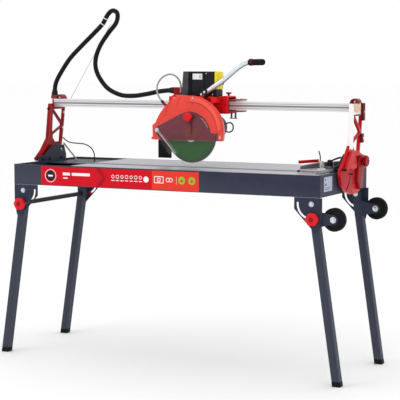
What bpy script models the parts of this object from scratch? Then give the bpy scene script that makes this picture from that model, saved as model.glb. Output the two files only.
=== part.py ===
"""Wet tile saw (bridge saw) on folding legs: table, tilting bridge, sliding carriage, plunging head.

Metres, +Z up. X runs along the table, +Y is the back. Heights are from the floor.
Every place below is measured from the middle of the table frame; one empty shifts the whole
saw so that the middle of its overall length lands on X = 0.
"""
import math

import bmesh
import bpy
from mathutils import Matrix, Vector

GAP = 0.0003                # clearance between pieces that touch

# Table frame and what lies in it
FRAME_X = 0.765
FRAME_Y = 0.279
TABLE_Z = 0.893
FRAME_DEPTH = 0.0935
FRAME_WALL = 0.012
LEDGE_WIDTH = 0.025
LEDGE_THICKNESS = 0.004
FRAME_BOTTOM = TABLE_Z - FRAME_DEPTH
INNER_X = FRAME_X - FRAME_WALL
INNER_Y = FRAME_Y - FRAME_WALL
TRAY_X = 0.745
TRAY_Y = 0.264
TRAY_WALL = 0.003
PLATE_THICKNESS = 0.012
PLATE_LEFT = -0.470
PLATE_BOTTOM = TABLE_Z - PLATE_THICKNESS
TRAY_TOP = PLATE_BOTTOM - GAP
TRAY_FLOOR = FRAME_BOTTOM + LEDGE_THICKNESS + GAP
SLOT_FRONT = -0.108
SLOT_REAR = -0.058

# Folding legs
LEG_PIVOT_X = {"left": -0.715, "right": 0.727}
LEG_PIVOT_Z = 0.7722
LEG_LEAN = math.radians(8.6)
LEG_SIZE = 0.035
LEG_Y = 0.2605
CAP_HEIGHT = 0.022
LEG_TOP = 0.790
KNOB_DROP = 0.063
BRACKET_Y = 0.2785
BRACKET_THICKNESS = 0.004
WHEEL_X = 0.822
WHEEL_Z = 0.709
WHEEL_RADIUS = 0.050
WHEEL_WIDTH = 0.0298
WHEEL_Y = {"front": -0.2547, "rear": 0.2627}
CARRIER_Y = {"front": (-0.2742, -0.2702), "rear": (0.2432, 0.2472)}
CROSSBAR_Z = 0.712

# Bridge
TILT_Y = -0.080
TILT_Z = 0.905
TOWER_LEFT_X = (-0.777, -0.763)
TOWER_RIGHT_X = (0.7705, 0.7845)
LOBE_RIGHT_X = 0.7985
BEAM_X = (-0.7627, 0.7702)
TOWER_FRONT = [(0.009, 0.999), (-0.043, 0.944)]
TOWER_REAR = [(0.138, 0.968), (0.156, 1.055)]
BEAM_Y = 0.0975
BEAM_WIDTH = 0.060
BEAM_Z = (1.148, 1.186)

# Carriage and head
CARRIAGE_X = (-0.125, 0.177)
CARRIAGE_Y = (0.050, 0.145)
CARRIAGE_Z = (1.130, 1.207)
ROLLER_X = (-0.090, 0.140)
ROLLER_RADIUS = 0.008
ROLLER_Z = BEAM_Z[1] + ROLLER_RADIUS + GAP
PLUNGE_X = -0.050
PLUNGE_Z = 1.196
BLADE_X = 0.0593
BLADE_Y = -0.080
BLADE_Z = 1.0377
BLADE_RADIUS = 0.125
GUARD_Y = (-0.0985, -0.042)
GUARD_WALL = 0.003
GUARD_TAPER = 0.90
GUARD_MIDDLE_X = 0.050
GUARD_BOTTOM = 1.0137
LENS_Y = (-0.1045, -0.1015)
LENS_PIVOT = (-0.1045, 1.0576)
LENS_CENTRE = (0.062, 1.046)
LENS_RADIUS = 0.1425
LENS_UPPER_RADIUS = 0.107
GUARD_KNOB = (0.0595, 1.120)
MOTOR_RADIUS = 0.060
MOTOR_X = 0.088
MOTOR_Z = 1.066
HANDLE_Y = -0.045
HANDLE_RADIUS = 0.011

# Fence on the table's right end
FENCE_PIVOT = (0.690, 0.020)
FENCE_A = (0.605, -0.126)
FENCE_B = (0.712, 0.148)
FENCE_Z = 0.9023
RAIL_X = (0.715, 0.735)
RAIL_Z = TABLE_Z + GAP

# Half the difference between the wheels' overhang and the left feet's overhang
LEFT_END = LEG_PIVOT_X["left"] - LEG_PIVOT_Z * math.tan(LEG_LEAN) - (LEG_SIZE + 0.002) / 2
ROOT_X = -(WHEEL_X + WHEEL_RADIUS + LEFT_END) / 2

COLOURS = {
    "slate_paint": ((0.045, 0.051, 0.080), 0.45, 0.3),
    "red_paint": ((0.58, 0.008, 0.012), 0.32, 0.0),
    "guard_red": ((0.72, 0.035, 0.030), 0.30, 0.0),
    "table_aluminium": ((0.62, 0.62, 0.68), 0.42, 0.6),
    "beam_aluminium": ((0.74, 0.74, 0.75), 0.33, 0.8),
    "tray_black": ((0.010, 0.011, 0.014), 0.55, 0.0),
    "black_plastic": ((0.012, 0.013, 0.016), 0.45, 0.0),
    "black_rubber": ((0.014, 0.014, 0.015), 0.70, 0.0),
    "red_plastic": ((0.68, 0.010, 0.014), 0.35, 0.0),
    "zinc_steel": ((0.60, 0.60, 0.62), 0.28, 1.0),
    "blade_green": ((0.030, 0.210, 0.050), 0.45, 0.2),
    "smoked_lens": ((0.22, 0.10, 0.12), 0.08, 0.0),
    "motor_grey": ((0.055, 0.075, 0.075), 0.45, 0.4),
    "yellow_plastic": ((0.90, 0.72, 0.0), 0.35, 0.0),
    "fence_grey": ((0.26, 0.30, 0.31), 0.40, 0.6),
    "clear_hose": ((0.80, 0.80, 0.78), 0.25, 0.0),
    "cord_grey": ((0.10, 0.10, 0.11), 0.60, 0.0),
}

# Each body: the body it moves on, and a point on its joint's axis.
BODIES = {
    "frame": (None, (0, 0, 0)),
    "left_legs": ("frame", (LEG_PIVOT_X["left"], 0, LEG_PIVOT_Z)),
    "right_front_leg": ("frame", (LEG_PIVOT_X["right"], -LEG_Y, LEG_PIVOT_Z)),
    "right_rear_leg": ("frame", (LEG_PIVOT_X["right"], LEG_Y, LEG_PIVOT_Z)),
    "bridge": ("frame", (0, TILT_Y, TILT_Z)),
    "carriage": ("bridge", (0, BEAM_Y, BEAM_Z[1])),
    "head": ("carriage", (PLUNGE_X, 0, PLUNGE_Z)),
    "spindle": ("head", (BLADE_X, BLADE_Y, BLADE_Z)),
    "lens": ("head", (LENS_PIVOT[0], LENS_Y[0], LENS_PIVOT[1])),
    "fence_slide": ("frame", (0.725, FENCE_PIVOT[1], FENCE_Z)),
    "fence": ("fence_slide", (*FENCE_PIVOT, FENCE_Z)),
}


def clear_scene():
    for item in list(bpy.data.objects):
        bpy.data.objects.remove(item, do_unlink=True)


def make_collection(name, hidden=False):
    collection = bpy.data.collections.new(name)
    bpy.context.scene.collection.children.link(collection)
    collection.hide_render = hidden
    return collection


clear_scene()
PARTS = make_collection("wet_tile_saw")
TOOLS = make_collection("cutters")
MATERIALS = {}
PIVOTS = {}
CUTTERS = {}


def material(name):
    if name in MATERIALS:
        return MATERIALS[name]
    colour, roughness, metallic = COLOURS[name]
    made = bpy.data.materials.new(name)
    made.use_nodes = True
    shader = made.node_tree.nodes["Principled BSDF"]
    shader.inputs["Base Color"].default_value = (*colour, 1.0)
    shader.inputs["Roughness"].default_value = roughness
    shader.inputs["Metallic"].default_value = metallic
    made.diffuse_color = (*colour, 1.0)
    MATERIALS[name] = made
    return made


def pivot(body):
    """The empty that a body's pieces hang on, made the first time it is asked for."""
    if body in PIVOTS:
        return PIVOTS[body]
    parent_name, place = BODIES[body]
    empty = bpy.data.objects.new(body + "_pivot", None)
    PARTS.objects.link(empty)
    empty.empty_display_size = 0.03
    if parent_name is None:
        empty.location = (ROOT_X, 0, 0)
    else:
        empty.parent = pivot(parent_name)
        empty.location = Vector(place) - Vector(BODIES[parent_name][1])
    PIVOTS[body] = empty
    return empty


def hang(item, body):
    """Keep a piece where it was modelled and parent it to its body's empty."""
    item.parent = pivot(body)
    item.location = Vector(item.location) - Vector(BODIES[body][1])


def mesh_object(name, shape, collection=None):
    mesh = bpy.data.meshes.new(name)
    shape.to_mesh(mesh)
    shape.free()
    item = bpy.data.objects.new(name, mesh)
    (collection or TOOLS).objects.link(item)
    return item


def smooth(item, angle=40):
    for face in item.data.polygons:
        face.use_smooth = True
    item.data.set_sharp_from_angle(angle=math.radians(angle))
    return item


def box(name, x, y, z):
    """A box between the given pairs of X, Y and Z."""
    shape = bmesh.new()
    size = (x[1] - x[0], y[1] - y[0], z[1] - z[0])
    bmesh.ops.create_cube(shape, size=1.0, matrix=Matrix.Diagonal((*size, 1.0)))
    item = mesh_object(name, shape)
    item.location = ((x[0] + x[1]) / 2, (y[0] + y[1]) / 2, (z[0] + z[1]) / 2)
    return item


def leaning_box(name, size, centre_x, centre_y, z, lean):
    """A square post with level ends whose centre line leans along X by the given angle."""
    item = box(name, (centre_x - size / 2, centre_x + size / 2),
               (centre_y - size / 2, centre_y + size / 2), z)
    for vertex in item.data.vertices:
        vertex.co.x += vertex.co.z * math.tan(lean)
    return item


TURNS = {"X": Matrix.Rotation(math.radians(90), 4, "Y"),
         "Y": Matrix.Rotation(math.radians(-90), 4, "X"),
         "Z": Matrix.Identity(4)}


def cylinder(name, centre, axis, radius, length, segments=24):
    shape = bmesh.new()
    bmesh.ops.create_cone(shape, cap_ends=True, segments=segments, radius1=radius, radius2=radius,
                          depth=length, matrix=TURNS[axis])
    item = mesh_object(name, shape)
    item.location = centre
    return smooth(item)


def turned(name, profile, centre, axis, steps=24):
    """Turn a profile of (radius, height) round the axis; it starts and ends on the axis, or is closed."""
    mesh = bpy.data.meshes.new(name)
    points = [(radius, 0.0, height) for radius, height in profile]
    edges = [(i, i + 1) for i in range(len(points) - 1)]
    if profile[0][0] > 0 and profile[-1][0] > 0:
        edges.append((len(points) - 1, 0))
    mesh.from_pydata(points, edges, [])
    item = bpy.data.objects.new(name, mesh)
    TOOLS.objects.link(item)
    screw = item.modifiers.new("turn", "SCREW")
    screw.steps = steps
    screw.render_steps = steps
    screw.use_merge_vertices = True
    screw.merge_threshold = 0.00001
    screw.use_smooth_shade = True
    item.matrix_world = Matrix.Translation(centre) @ TURNS[axis]
    return item


def outline_plate(name, outline, plane, span):
    """A flat outline in the XZ or YZ plane, extruded across the given span."""
    curve = bpy.data.curves.new(name, "CURVE")
    curve.dimensions = "2D"
    curve.fill_mode = "BOTH"
    curve.extrude = (span[1] - span[0]) / 2
    line = curve.splines.new("POLY")
    line.points.add(len(outline) - 1)
    for point, (a, b) in zip(line.points, outline):
        point.co = (a, b, 0, 1)
    line.use_cyclic_u = True
    drawn = bpy.data.objects.new(name + "_outline", curve)
    bpy.context.scene.collection.objects.link(drawn)
    mesh = bpy.data.meshes.new_from_object(drawn)
    bpy.data.objects.remove(drawn, do_unlink=True)
    middle = (span[0] + span[1]) / 2
    if plane == "XZ":
        turn = Matrix.Translation((0, middle, 0)) @ Matrix.Rotation(math.radians(90), 4, "X")
    elif plane == "XY":
        turn = Matrix.Translation((0, 0, middle))
    else:
        swap = Matrix(((0, 0, 1, 0), (1, 0, 0, 0), (0, 1, 0, 0), (0, 0, 0, 1)))
        turn = Matrix.Translation((middle, 0, 0)) @ swap
    mesh.transform(turn)
    shape = bmesh.new()
    shape.from_mesh(mesh)
    bmesh.ops.remove_doubles(shape, verts=shape.verts, dist=0.00001)
    bmesh.ops.recalc_face_normals(shape, faces=shape.faces)
    return smooth(mesh_object(name, shape), 25)


def tube(name, points, radius, resolution=2):
    """A round tube along straight lines between the given points."""
    curve = bpy.data.curves.new(name, "CURVE")
    curve.dimensions = "3D"
    curve.bevel_depth = radius
    curve.bevel_resolution = resolution
    curve.use_fill_caps = True
    line = curve.splines.new("POLY")
    line.points.add(len(points) - 1)
    for spot, place in zip(line.points, points):
        spot.co = (*place, 1)
    drawn = bpy.data.objects.new(name + "_line", curve)
    bpy.context.scene.collection.objects.link(drawn)
    mesh = bpy.data.meshes.new_from_object(drawn)
    bpy.data.objects.remove(drawn, do_unlink=True)
    shape = bmesh.new()
    shape.from_mesh(mesh)
    bmesh.ops.remove_doubles(shape, verts=shape.verts, dist=0.00001)
    bmesh.ops.recalc_face_normals(shape, faces=shape.faces)
    return smooth(mesh_object(name, shape), 60)


def smooth_route(points, per_span):
    """Points along a Catmull-Rom curve through the route."""
    route = [Vector(p) for p in points]
    route = [route[0] * 2 - route[1]] + route + [route[-1] * 2 - route[-2]]
    result = []
    for i in range(1, len(route) - 2):
        a, b, c, d = route[i - 1:i + 3]
        for step in range(per_span):
            t = step / per_span
            result.append(0.5 * (2 * b + (c - a) * t + (2 * a - 5 * b + 4 * c - d) * t * t
                                 + (3 * b - a - 3 * c + d) * t * t * t))
    result.append(route[-2])
    return result


def arc(centre, radius, start, end, count):
    """Points on an arc between two angles in degrees."""
    angles = [math.radians(start + (end - start) * i / (count - 1)) for i in range(count)]
    return [(centre[0] + radius * math.cos(a), centre[1] + radius * math.sin(a)) for a in angles]


def arc_slot(centre, radius, half_width, start, end, count=10):
    """The outline of a curved slot with round ends."""
    first = (centre[0] + radius * math.cos(math.radians(start)),
             centre[1] + radius * math.sin(math.radians(start)))
    last = (centre[0] + radius * math.cos(math.radians(end)),
            centre[1] + radius * math.sin(math.radians(end)))
    outline = arc(centre, radius + half_width, start, end, count)
    outline += arc(last, half_width, end, end + 180, 6)[1:-1]
    outline += arc(centre, radius - half_width, end, start, count)
    outline += arc(first, half_width, start + 180, start + 360, 6)[1:-1]
    return outline


def combine(item, other, operation):
    """Cut a tool out of a piece, or join it on, with a live Boolean modifier."""
    modifier = item.modifiers.new(operation.lower() + "_" + other.name, "BOOLEAN")
    modifier.operation = operation
    modifier.solver = "EXACT"
    modifier.object = other
    other.hide_render = True
    other.display_type = "WIRE"
    CUTTERS.setdefault(item.name, []).append(other)
    return item


def cut(item, *others):
    for other in others:
        combine(item, other, "DIFFERENCE")
    return item


def join(item, *others):
    for other in others:
        combine(item, other, "UNION")
    return item


def finish(item, colour, body):
    """Give a piece its material and body, and take its tools along."""
    item.data.materials.clear()
    item.data.materials.append(material(colour))
    for tool in CUTTERS.get(item.name, []):
        hang(tool, body)
    TOOLS.objects.unlink(item)
    PARTS.objects.link(item)
    hang(item, body)
    return item


# ---------------------------------------------------------------- table

def make_table_frame():
    frame = box("table_frame", (-FRAME_X, FRAME_X), (-FRAME_Y, FRAME_Y), (FRAME_BOTTOM, TABLE_Z))
    well = box("frame_well", (-INNER_X, INNER_X), (-INNER_Y, INNER_Y),
               (FRAME_BOTTOM + LEDGE_THICKNESS, TABLE_Z + 0.01))
    opening_x = INNER_X - LEDGE_WIDTH
    opening_y = INNER_Y - LEDGE_WIDTH
    opening = box("frame_opening", (-opening_x, opening_x), (-opening_y, opening_y),
                  (FRAME_BOTTOM - 0.01, FRAME_BOTTOM + 0.01))
    stud = cylinder("bevel_stud", (0.7785, 0.0226, 0.880), "X", 0.0040, 0.043, 16)
    cut(frame, well, opening)
    join(frame, stud)
    finish(frame, "slate_paint", "frame")


def make_water_tray():
    tray = box("water_tray", (-TRAY_X, TRAY_X), (-TRAY_Y, TRAY_Y), (TRAY_FLOOR, TRAY_TOP))
    inside = box("tray_inside", (-TRAY_X + TRAY_WALL, TRAY_X - TRAY_WALL),
                 (-TRAY_Y + TRAY_WALL, TRAY_Y - TRAY_WALL), (TRAY_FLOOR + TRAY_WALL, TRAY_TOP + 0.01))
    cut(tray, inside)
    for index, x in enumerate((-0.440, 0.150)):
        for side, y in (("front", (-TRAY_Y + 0.001, -0.115)), ("rear", (-0.048, TRAY_Y - 0.001))):
            rib = box(f"tray_rib_{side}_{index}", (x - 0.005, x + 0.005), y,
                      (TRAY_FLOOR + 0.001, TRAY_TOP))
            join(tray, rib)
    finish(tray, "tray_black", "frame")


def make_table_plates():
    right = TRAY_X
    front = box("table_plate_front", (PLATE_LEFT, right), (-INNER_Y + 0.001, SLOT_FRONT),
                (PLATE_BOTTOM, TABLE_Z))
    rear = box("table_plate_rear", (PLATE_LEFT, right), (SLOT_REAR, INNER_Y - 0.001),
               (PLATE_BOTTOM, TABLE_Z))
    for plate in (front, rear):
        finish(plate, "table_aluminium", "frame")


def make_pump_cover():
    cover = box("pump_cover", (-0.742, PLATE_LEFT - 0.0025), (-0.020, TRAY_Y - 0.001),
                (PLATE_BOTTOM, PLATE_BOTTOM + 0.004))
    holes = [cylinder(f"cover_hole_{i}", (x, 0.14, PLATE_BOTTOM), "Z", 0.009, 0.03, 16)
             for i, x in enumerate((-0.6835, -0.5805))]
    cut(cover, *holes)
    finish(cover, "slate_paint", "frame")


def make_pump():
    floor = TRAY_FLOOR + TRAY_WALL + GAP
    pump = box("pump", (-0.715, -0.555), (0.090, 0.190), (floor, 0.868))
    bevel = pump.modifiers.new("edges", "BEVEL")
    bevel.width = 0.006
    bevel.segments = 2
    finish(pump, "black_plastic", "frame")
    hose = smooth_route([(-0.7560, 0.140, 0.970), (-0.7210, 0.140, 0.932), (-0.6905, 0.140, 0.900),
                         (-0.6835, 0.140, 0.885), (-0.6835, 0.140, 0.8690)], 4)
    finish(tube("pump_hose", hose, 0.0040), "clear_hose", "frame")
    cord = smooth_route([(-0.7590, 0.140, 0.9953), (-0.7380, 0.140, 0.9800), (-0.7141, 0.140, 0.9715),
                         (-0.6760, 0.140, 0.9690), (-0.6379, 0.140, 0.9660), (-0.6040, 0.140, 0.9520),
                         (-0.5850, 0.140, 0.9290), (-0.5805, 0.140, 0.9000), (-0.5805, 0.140, 0.8690)], 4)
    finish(tube("pump_cord", cord, 0.0028), "cord_grey", "frame")


def make_hinge_plates():
    outline = [(-0.094, 0.860), (0.150, 0.860), (0.150, 0.915), (0.131, 0.962), (0.030, 0.966),
               (-0.040, 0.921), (-0.094, 0.918)]
    left = outline_plate("hinge_plate_left", outline, "YZ", (-0.7527, -0.7467))
    join(left, cylinder("hinge_pin_left", (-0.7662, TILT_Y, TILT_Z), "X", 0.005, 0.033, 16))
    right = outline_plate("hinge_plate_right", outline, "YZ", (0.7467, 0.7527))
    join(right, cylinder("hinge_pin_right", (0.7779, TILT_Y, TILT_Z), "X", 0.005, 0.057, 16))
    for plate in (left, right):
        finish(plate, "slate_paint", "frame")


# ---------------------------------------------------------------- legs

def make_leg_bracket(side, end):
    inward = 1 if side == "left" else -1
    front = -1 if end == "front" else 1
    x0 = LEG_PIVOT_X[side]
    span = sorted((front * BRACKET_Y, front * (BRACKET_Y + BRACKET_THICKNESS)))
    corners = [(-0.048, FRAME_BOTTOM - GAP - LEG_PIVOT_Z), (0.079, FRAME_BOTTOM - GAP - LEG_PIVOT_Z),
               (0.079, -0.022), (-0.011, -0.116), (-0.036, -0.116), (-0.048, -0.060)]
    outline = [(x0 + inward * a, LEG_PIVOT_Z + b) for a, b in corners]
    bracket = outline_plate(f"leg_bracket_{side}_{end}", outline, "XZ", span)
    lean = math.degrees(LEG_LEAN)
    slot = arc_slot((0, 0), KNOB_DROP, 0.0045, -92 - lean, -86 - lean + 98)
    slot = [(x0 + inward * a, LEG_PIVOT_Z + b) for a, b in slot]
    cutter = outline_plate(f"bracket_slot_{side}_{end}", slot, "XZ", (span[0] - 0.01, span[1] + 0.01))
    bolt_y = front * (LEG_Y + 0.002)
    bolt = cylinder(f"leg_bolt_{side}_{end}", (x0, bolt_y, LEG_PIVOT_Z), "Y", 0.005, 0.036, 16)
    head_y = front * (BRACKET_Y + BRACKET_THICKNESS + 0.0025)
    head = cylinder(f"leg_bolt_head_{side}_{end}", (x0, head_y, LEG_PIVOT_Z), "Y", 0.0095, 0.007, 16)
    cut(bracket, cutter)
    join(bracket, bolt, head)
    finish(bracket, "slate_paint", "frame")


def leg_x(side, z):
    """Middle of a leg at a height."""
    outward = -1 if side == "left" else 1
    return LEG_PIVOT_X[side] + outward * (LEG_PIVOT_Z - z) * math.tan(LEG_LEAN)


def make_leg(side, end, body):
    front = -1 if end == "front" else 1
    lean = LEG_LEAN if side == "left" else -LEG_LEAN
    z = (CAP_HEIGHT + GAP, LEG_TOP)
    leg = leaning_box(f"leg_{side}_{end}", LEG_SIZE, leg_x(side, sum(z) / 2), front * LEG_Y, z, lean)
    bore = cylinder(f"leg_bore_{side}_{end}", (LEG_PIVOT_X[side], front * LEG_Y, LEG_PIVOT_Z), "Y",
                    0.0054, 0.06, 16)
    cut(leg, bore)
    if side == "right":
        span = CARRIER_Y[end]
        top = (leg_x(side, 0.745), 0.745)
        low = (leg_x(side, 0.672), 0.672)
        arm = [top, *arc((WHEEL_X, WHEEL_Z), 0.021, 80, -100, 8), low]
        carrier = outline_plate(f"wheel_carrier_{end}", arm, "XZ", span)
        tip = WHEEL_Y[end] + WHEEL_WIDTH / 2 + 0.0005
        axle = cylinder(f"wheel_axle_{end}", (WHEEL_X, (span[0] + tip) / 2, WHEEL_Z), "Y", 0.005,
                        tip - span[0])
        head = cylinder(f"axle_head_{end}", (WHEEL_X, span[0] - 0.0013, WHEEL_Z), "Y", 0.0095, 0.0046,
                        16)
        join(leg, carrier, axle, head)
    finish(leg, "slate_paint", body)
    cap = leaning_box(f"foot_cap_{side}_{end}", LEG_SIZE + 0.002, leg_x(side, CAP_HEIGHT / 2),
                      front * LEG_Y, (0, CAP_HEIGHT), lean)
    edges = cap.modifiers.new("edges", "BEVEL")
    edges.width = 0.002
    edges.segments = 1
    finish(cap, "black_rubber", body)


def make_leg_knob(side, end, body):
    """A knob on a stud that slides in its bracket's slot and clamps the leg."""
    front = -1 if end == "front" else 1
    outward = -1 if side == "left" else 1
    x = LEG_PIVOT_X[side] + outward * KNOB_DROP * math.sin(LEG_LEAN)
    z = LEG_PIVOT_Z - KNOB_DROP * math.cos(LEG_LEAN)
    profile = [(0, 0.0003), (0.004, 0.0003), (0.004, 0.0085), (0.011, 0.0085), (0.012, 0.012),
               (0.027, 0.013), (0.029, 0.018), (0.029, 0.026), (0.027, 0.031), (0.012, 0.033),
               (0.010, 0.028), (0, 0.028)]
    knob = turned(f"leg_knob_{side}_{end}", profile[::-1], (x, front * (LEG_Y + LEG_SIZE / 2), z), "Z")
    knob.matrix_world = (Matrix.Translation(knob.location)
                         @ Matrix.Rotation(math.radians(-90 * front), 4, "X"))
    finish(knob, "red_plastic", body)


def make_wheel(end, body):
    half = WHEEL_WIDTH / 2
    profile = [(0.0055, half), (0.014, half), (0.016, half - 0.006), (0.032, half - 0.006),
               (0.035, half), (0.046, half), (WHEEL_RADIUS, half - 0.005),
               (WHEEL_RADIUS, -half + 0.005), (0.046, -half), (0.035, -half),
               (0.032, -half + 0.006), (0.016, -half + 0.006), (0.014, -half), (0.0055, -half)]
    wheel = turned(f"wheel_{end}", profile, (WHEEL_X, WHEEL_Y[end], WHEEL_Z), "Y", 32)
    finish(wheel, "black_rubber", body)


def make_legs():
    bodies = {("left", "front"): "left_legs", ("left", "rear"): "left_legs",
              ("right", "front"): "right_front_leg", ("right", "rear"): "right_rear_leg"}
    for (side, end), body in bodies.items():
        make_leg_bracket(side, end)
        make_leg(side, end, body)
        make_leg_knob(side, end, body)
        if side == "right":
            make_wheel(end, body)
    reach = LEG_Y - LEG_SIZE / 2 - GAP
    x = leg_x("left", CROSSBAR_Z)
    bar = box("leg_crossbar", (x - 0.009, x + 0.009), (-reach, reach),
              (CROSSBAR_Z - 0.009, CROSSBAR_Z + 0.009))
    finish(bar, "slate_paint", "left_legs")


# ---------------------------------------------------------------- bridge

WINDOWS = [[(0.068, 1.136), (0.157, 1.136), (0.146, 1.070)],
           [(0.060, 1.131), (0.1385, 1.062), (0.1385, 1.056), (0.050, 1.020)],
           [(0.056, 1.013), (0.1365, 1.047), (0.1265, 0.978), (0.076, 0.978), (0.056, 0.998)]]


def truss_windows(side, span):
    """The gaps between a tower's two columns and its braces."""
    wide = (span[0] - 0.01, span[1] + 0.02)
    return [outline_plate(f"tower_window_{side}_{index}", points, "YZ", wide)
            for index, points in enumerate(WINDOWS)]


def make_tower_left():
    foot = arc((TILT_Y, TILT_Z), 0.0112, 150, 270, 6) + [(0.120, 0.8970), (0.126, 0.930)]
    outline = [(0.0345, 1.164), *TOWER_FRONT, *foot, *TOWER_REAR, (0.1737, 1.164)]
    tower = outline_plate("tower_left", outline, "YZ", TOWER_LEFT_X)
    bore = cylinder("tower_bore_left", (-0.770, TILT_Y, TILT_Z), "X", 0.0054, 0.03, 16)
    cut(tower, *truss_windows("left", TOWER_LEFT_X), bore)
    finish(tower, "red_paint", "bridge")


def make_tower_right():
    foot = [(-0.0912, 0.905), (-0.0990, 0.880), (-0.0800, 0.836), (-0.0240, 0.804), (0.040, 0.790),
            (0.100, 0.790), (0.140, 0.798), (0.158, 0.820), (0.166, 0.880), (0.188, 0.905),
            (0.192, 0.935), (0.180, 0.956)]
    outline = [(0.0379, BEAM_Z[1]), *TOWER_FRONT, *foot, *TOWER_REAR, (0.1772, BEAM_Z[1])]
    tower = outline_plate("tower_right", outline, "YZ", TOWER_RIGHT_X)
    lobe_span = (TOWER_RIGHT_X[1] - 0.002, LOBE_RIGHT_X)
    lobe = [(0.006, 0.980), (-0.046, 0.932), (-0.060, 0.900), (0.003, 0.905), (0.020, 0.898),
            (0.060, 0.902), (0.076, 0.918), (0.060, 0.950)]
    rear_lobe = [(0.078, 0.850), (0.110, 0.806), (0.140, 0.812), (0.156, 0.860), (0.160, 0.890),
                 (0.184, 0.912), (0.186, 0.940), (0.168, 0.956), (0.120, 0.956), (0.092, 0.930)]
    join(tower, outline_plate("front_lobe", lobe, "YZ", lobe_span),
         outline_plate("rear_lobe", rear_lobe, "YZ", lobe_span))
    flanges = [((0.142, 0.166), (1.108, BEAM_Z[1])), ((0.132, 0.152), (1.011, 1.052)),
               ((0.060, 0.112), (1.150, BEAM_Z[1]))]
    for index, (y, z) in enumerate(flanges):
        join(tower, box(f"tower_flange_{index}", (TOWER_RIGHT_X[1] - 0.002, LOBE_RIGHT_X), y, z))
    slot_radius = math.hypot(0.0226 - TILT_Y, 0.880 - TILT_Z)
    slot_start = math.degrees(math.atan2(0.880 - TILT_Z, 0.0226 - TILT_Y))
    slot = arc_slot((TILT_Y, TILT_Z), slot_radius, 0.0048, slot_start - 46, slot_start + 1)
    slot_cutter = outline_plate("bevel_slot", slot, "YZ", (0.76, 0.82))
    bore = cylinder("tower_bore_right", (0.785, TILT_Y, TILT_Z), "X", 0.0054, 0.06, 16)
    cut(tower, *truss_windows("right", (TOWER_RIGHT_X[0], LOBE_RIGHT_X)), slot_cutter, bore)
    finish(tower, "red_paint", "bridge")


def make_beam():
    half = BEAM_WIDTH / 2
    beam = box("guide_beam", BEAM_X, (BEAM_Y - half, BEAM_Y + half), BEAM_Z)
    middle = sum(BEAM_Z) / 2
    for side in (-1, 1):
        y = BEAM_Y + side * half
        groove = box(f"beam_groove_{side}", (BEAM_X[0] - 0.01, BEAM_X[1] + 0.01),
                     (y - 0.003, y + 0.003), (middle - 0.005, middle + 0.005))
        cut(beam, groove)
    finish(beam, "beam_aluminium", "bridge")


def make_beam_cap(side, x):
    """A half-round arch on top of the beam's end."""
    base = (x, BEAM_Z[1] + GAP)
    outline = arc(base, 0.021, 0, 180, 13) + arc(base, 0.015, 180, 0, 13)
    cap = outline_plate(f"beam_cap_{side}", outline, "XZ", (BEAM_Y - 0.022, BEAM_Y + 0.022))
    if side == "left":
        block = box("conduit_socket", (-0.7900, x - 0.016), (BEAM_Y - 0.014, BEAM_Y + 0.016),
                    (BEAM_Z[1] + GAP, 1.2030))
        join(cap, block)
    finish(cap, "red_paint", "bridge")


def make_bevel_knob():
    profile = [(0, -0.0005), (0.005, -0.0005), (0.005, 0.004), (0.022, 0.005), (0.025, 0.009),
               (0.025, 0.018), (0.022, 0.022), (0, 0.022)]
    knob = turned("bevel_knob", profile[::-1], (LOBE_RIGHT_X + 0.001, 0.140, 0.930), "X")
    finish(knob, "red_plastic", "bridge")


def make_stay_rod():
    rod = tube("stay_rod", [(-0.6983, 0.1190, 1.1885), (-0.4730, 0.1190, 1.5440)], 0.0018)
    finish(rod, "zinc_steel", "bridge")


def make_conduit():
    route = [(-0.7770, 0.0985, 1.2034), (-0.7765, 0.0985, 1.2300), (-0.7690, 0.0985, 1.2650),
             (-0.7415, 0.0985, 1.3115), (-0.6898, 0.0985, 1.3791), (-0.6240, 0.0985, 1.4399),
             (-0.5522, 0.0985, 1.5015), (-0.5050, 0.0985, 1.5450), (-0.4790, 0.0985, 1.5850),
             (-0.4520, 0.0985, 1.6060), (-0.4250, 0.0985, 1.5930), (-0.4310, 0.0985, 1.5500),
             (-0.4749, 0.0985, 1.5000), (-0.5172, 0.0985, 1.4450), (-0.5425, 0.0985, 1.3900),
             (-0.5461, 0.0985, 1.3400), (-0.5256, 0.0985, 1.2900), (-0.4769, 0.0985, 1.2370),
             (-0.4069, 0.0985, 1.2080), (-0.3373, 0.0985, 1.2050), (-0.2688, 0.0985, 1.2140),
             (-0.2009, 0.0985, 1.2270), (-0.1500, 0.0985, 1.2325), (-0.1190, 0.0985, 1.2330)]
    finish(tube("conduit", smooth_route(route, 3), 0.0112, 3), "black_rubber", "bridge")


# ---------------------------------------------------------------- carriage

def make_carriage():
    body = box("carriage", CARRIAGE_X, CARRIAGE_Y, CARRIAGE_Z)
    tunnel = box("carriage_tunnel", (CARRIAGE_X[0] - 0.01, CARRIAGE_X[1] + 0.01),
                 (BEAM_Y - 0.034, BEAM_Y + 0.034), (BEAM_Z[0] - 0.004, 1.2032))
    cut(body, tunnel)
    for index, x in enumerate(ROLLER_X):
        cut(body, cylinder(f"roller_bore_{index}", (x, BEAM_Y, ROLLER_Z), "Y", 0.0044, 0.084, 16))
    gland = box("conduit_gland", (-0.1180, -0.0900), (0.082, 0.115), (1.2050, 1.2480))
    wiper_top = box("wiper_top", (CARRIAGE_X[1] - 0.002, 0.235), (0.058, 0.137), (1.1898, 1.1968))
    wiper_low = box("wiper_low", (CARRIAGE_X[1] - 0.002, 0.232), (0.058, 0.137), (1.1380, 1.1440))
    pin_y = (CARRIAGE_Y[0] + 0.005, GUARD_Y[1] + 0.004)
    pin = cylinder("head_pivot_pin", (PLUNGE_X, sum(pin_y) / 2, PLUNGE_Z), "Y", 0.008,
                   pin_y[0] - pin_y[1])
    join(body, gland, wiper_top, wiper_low, pin)
    finish(body, "red_paint", "carriage")


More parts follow.
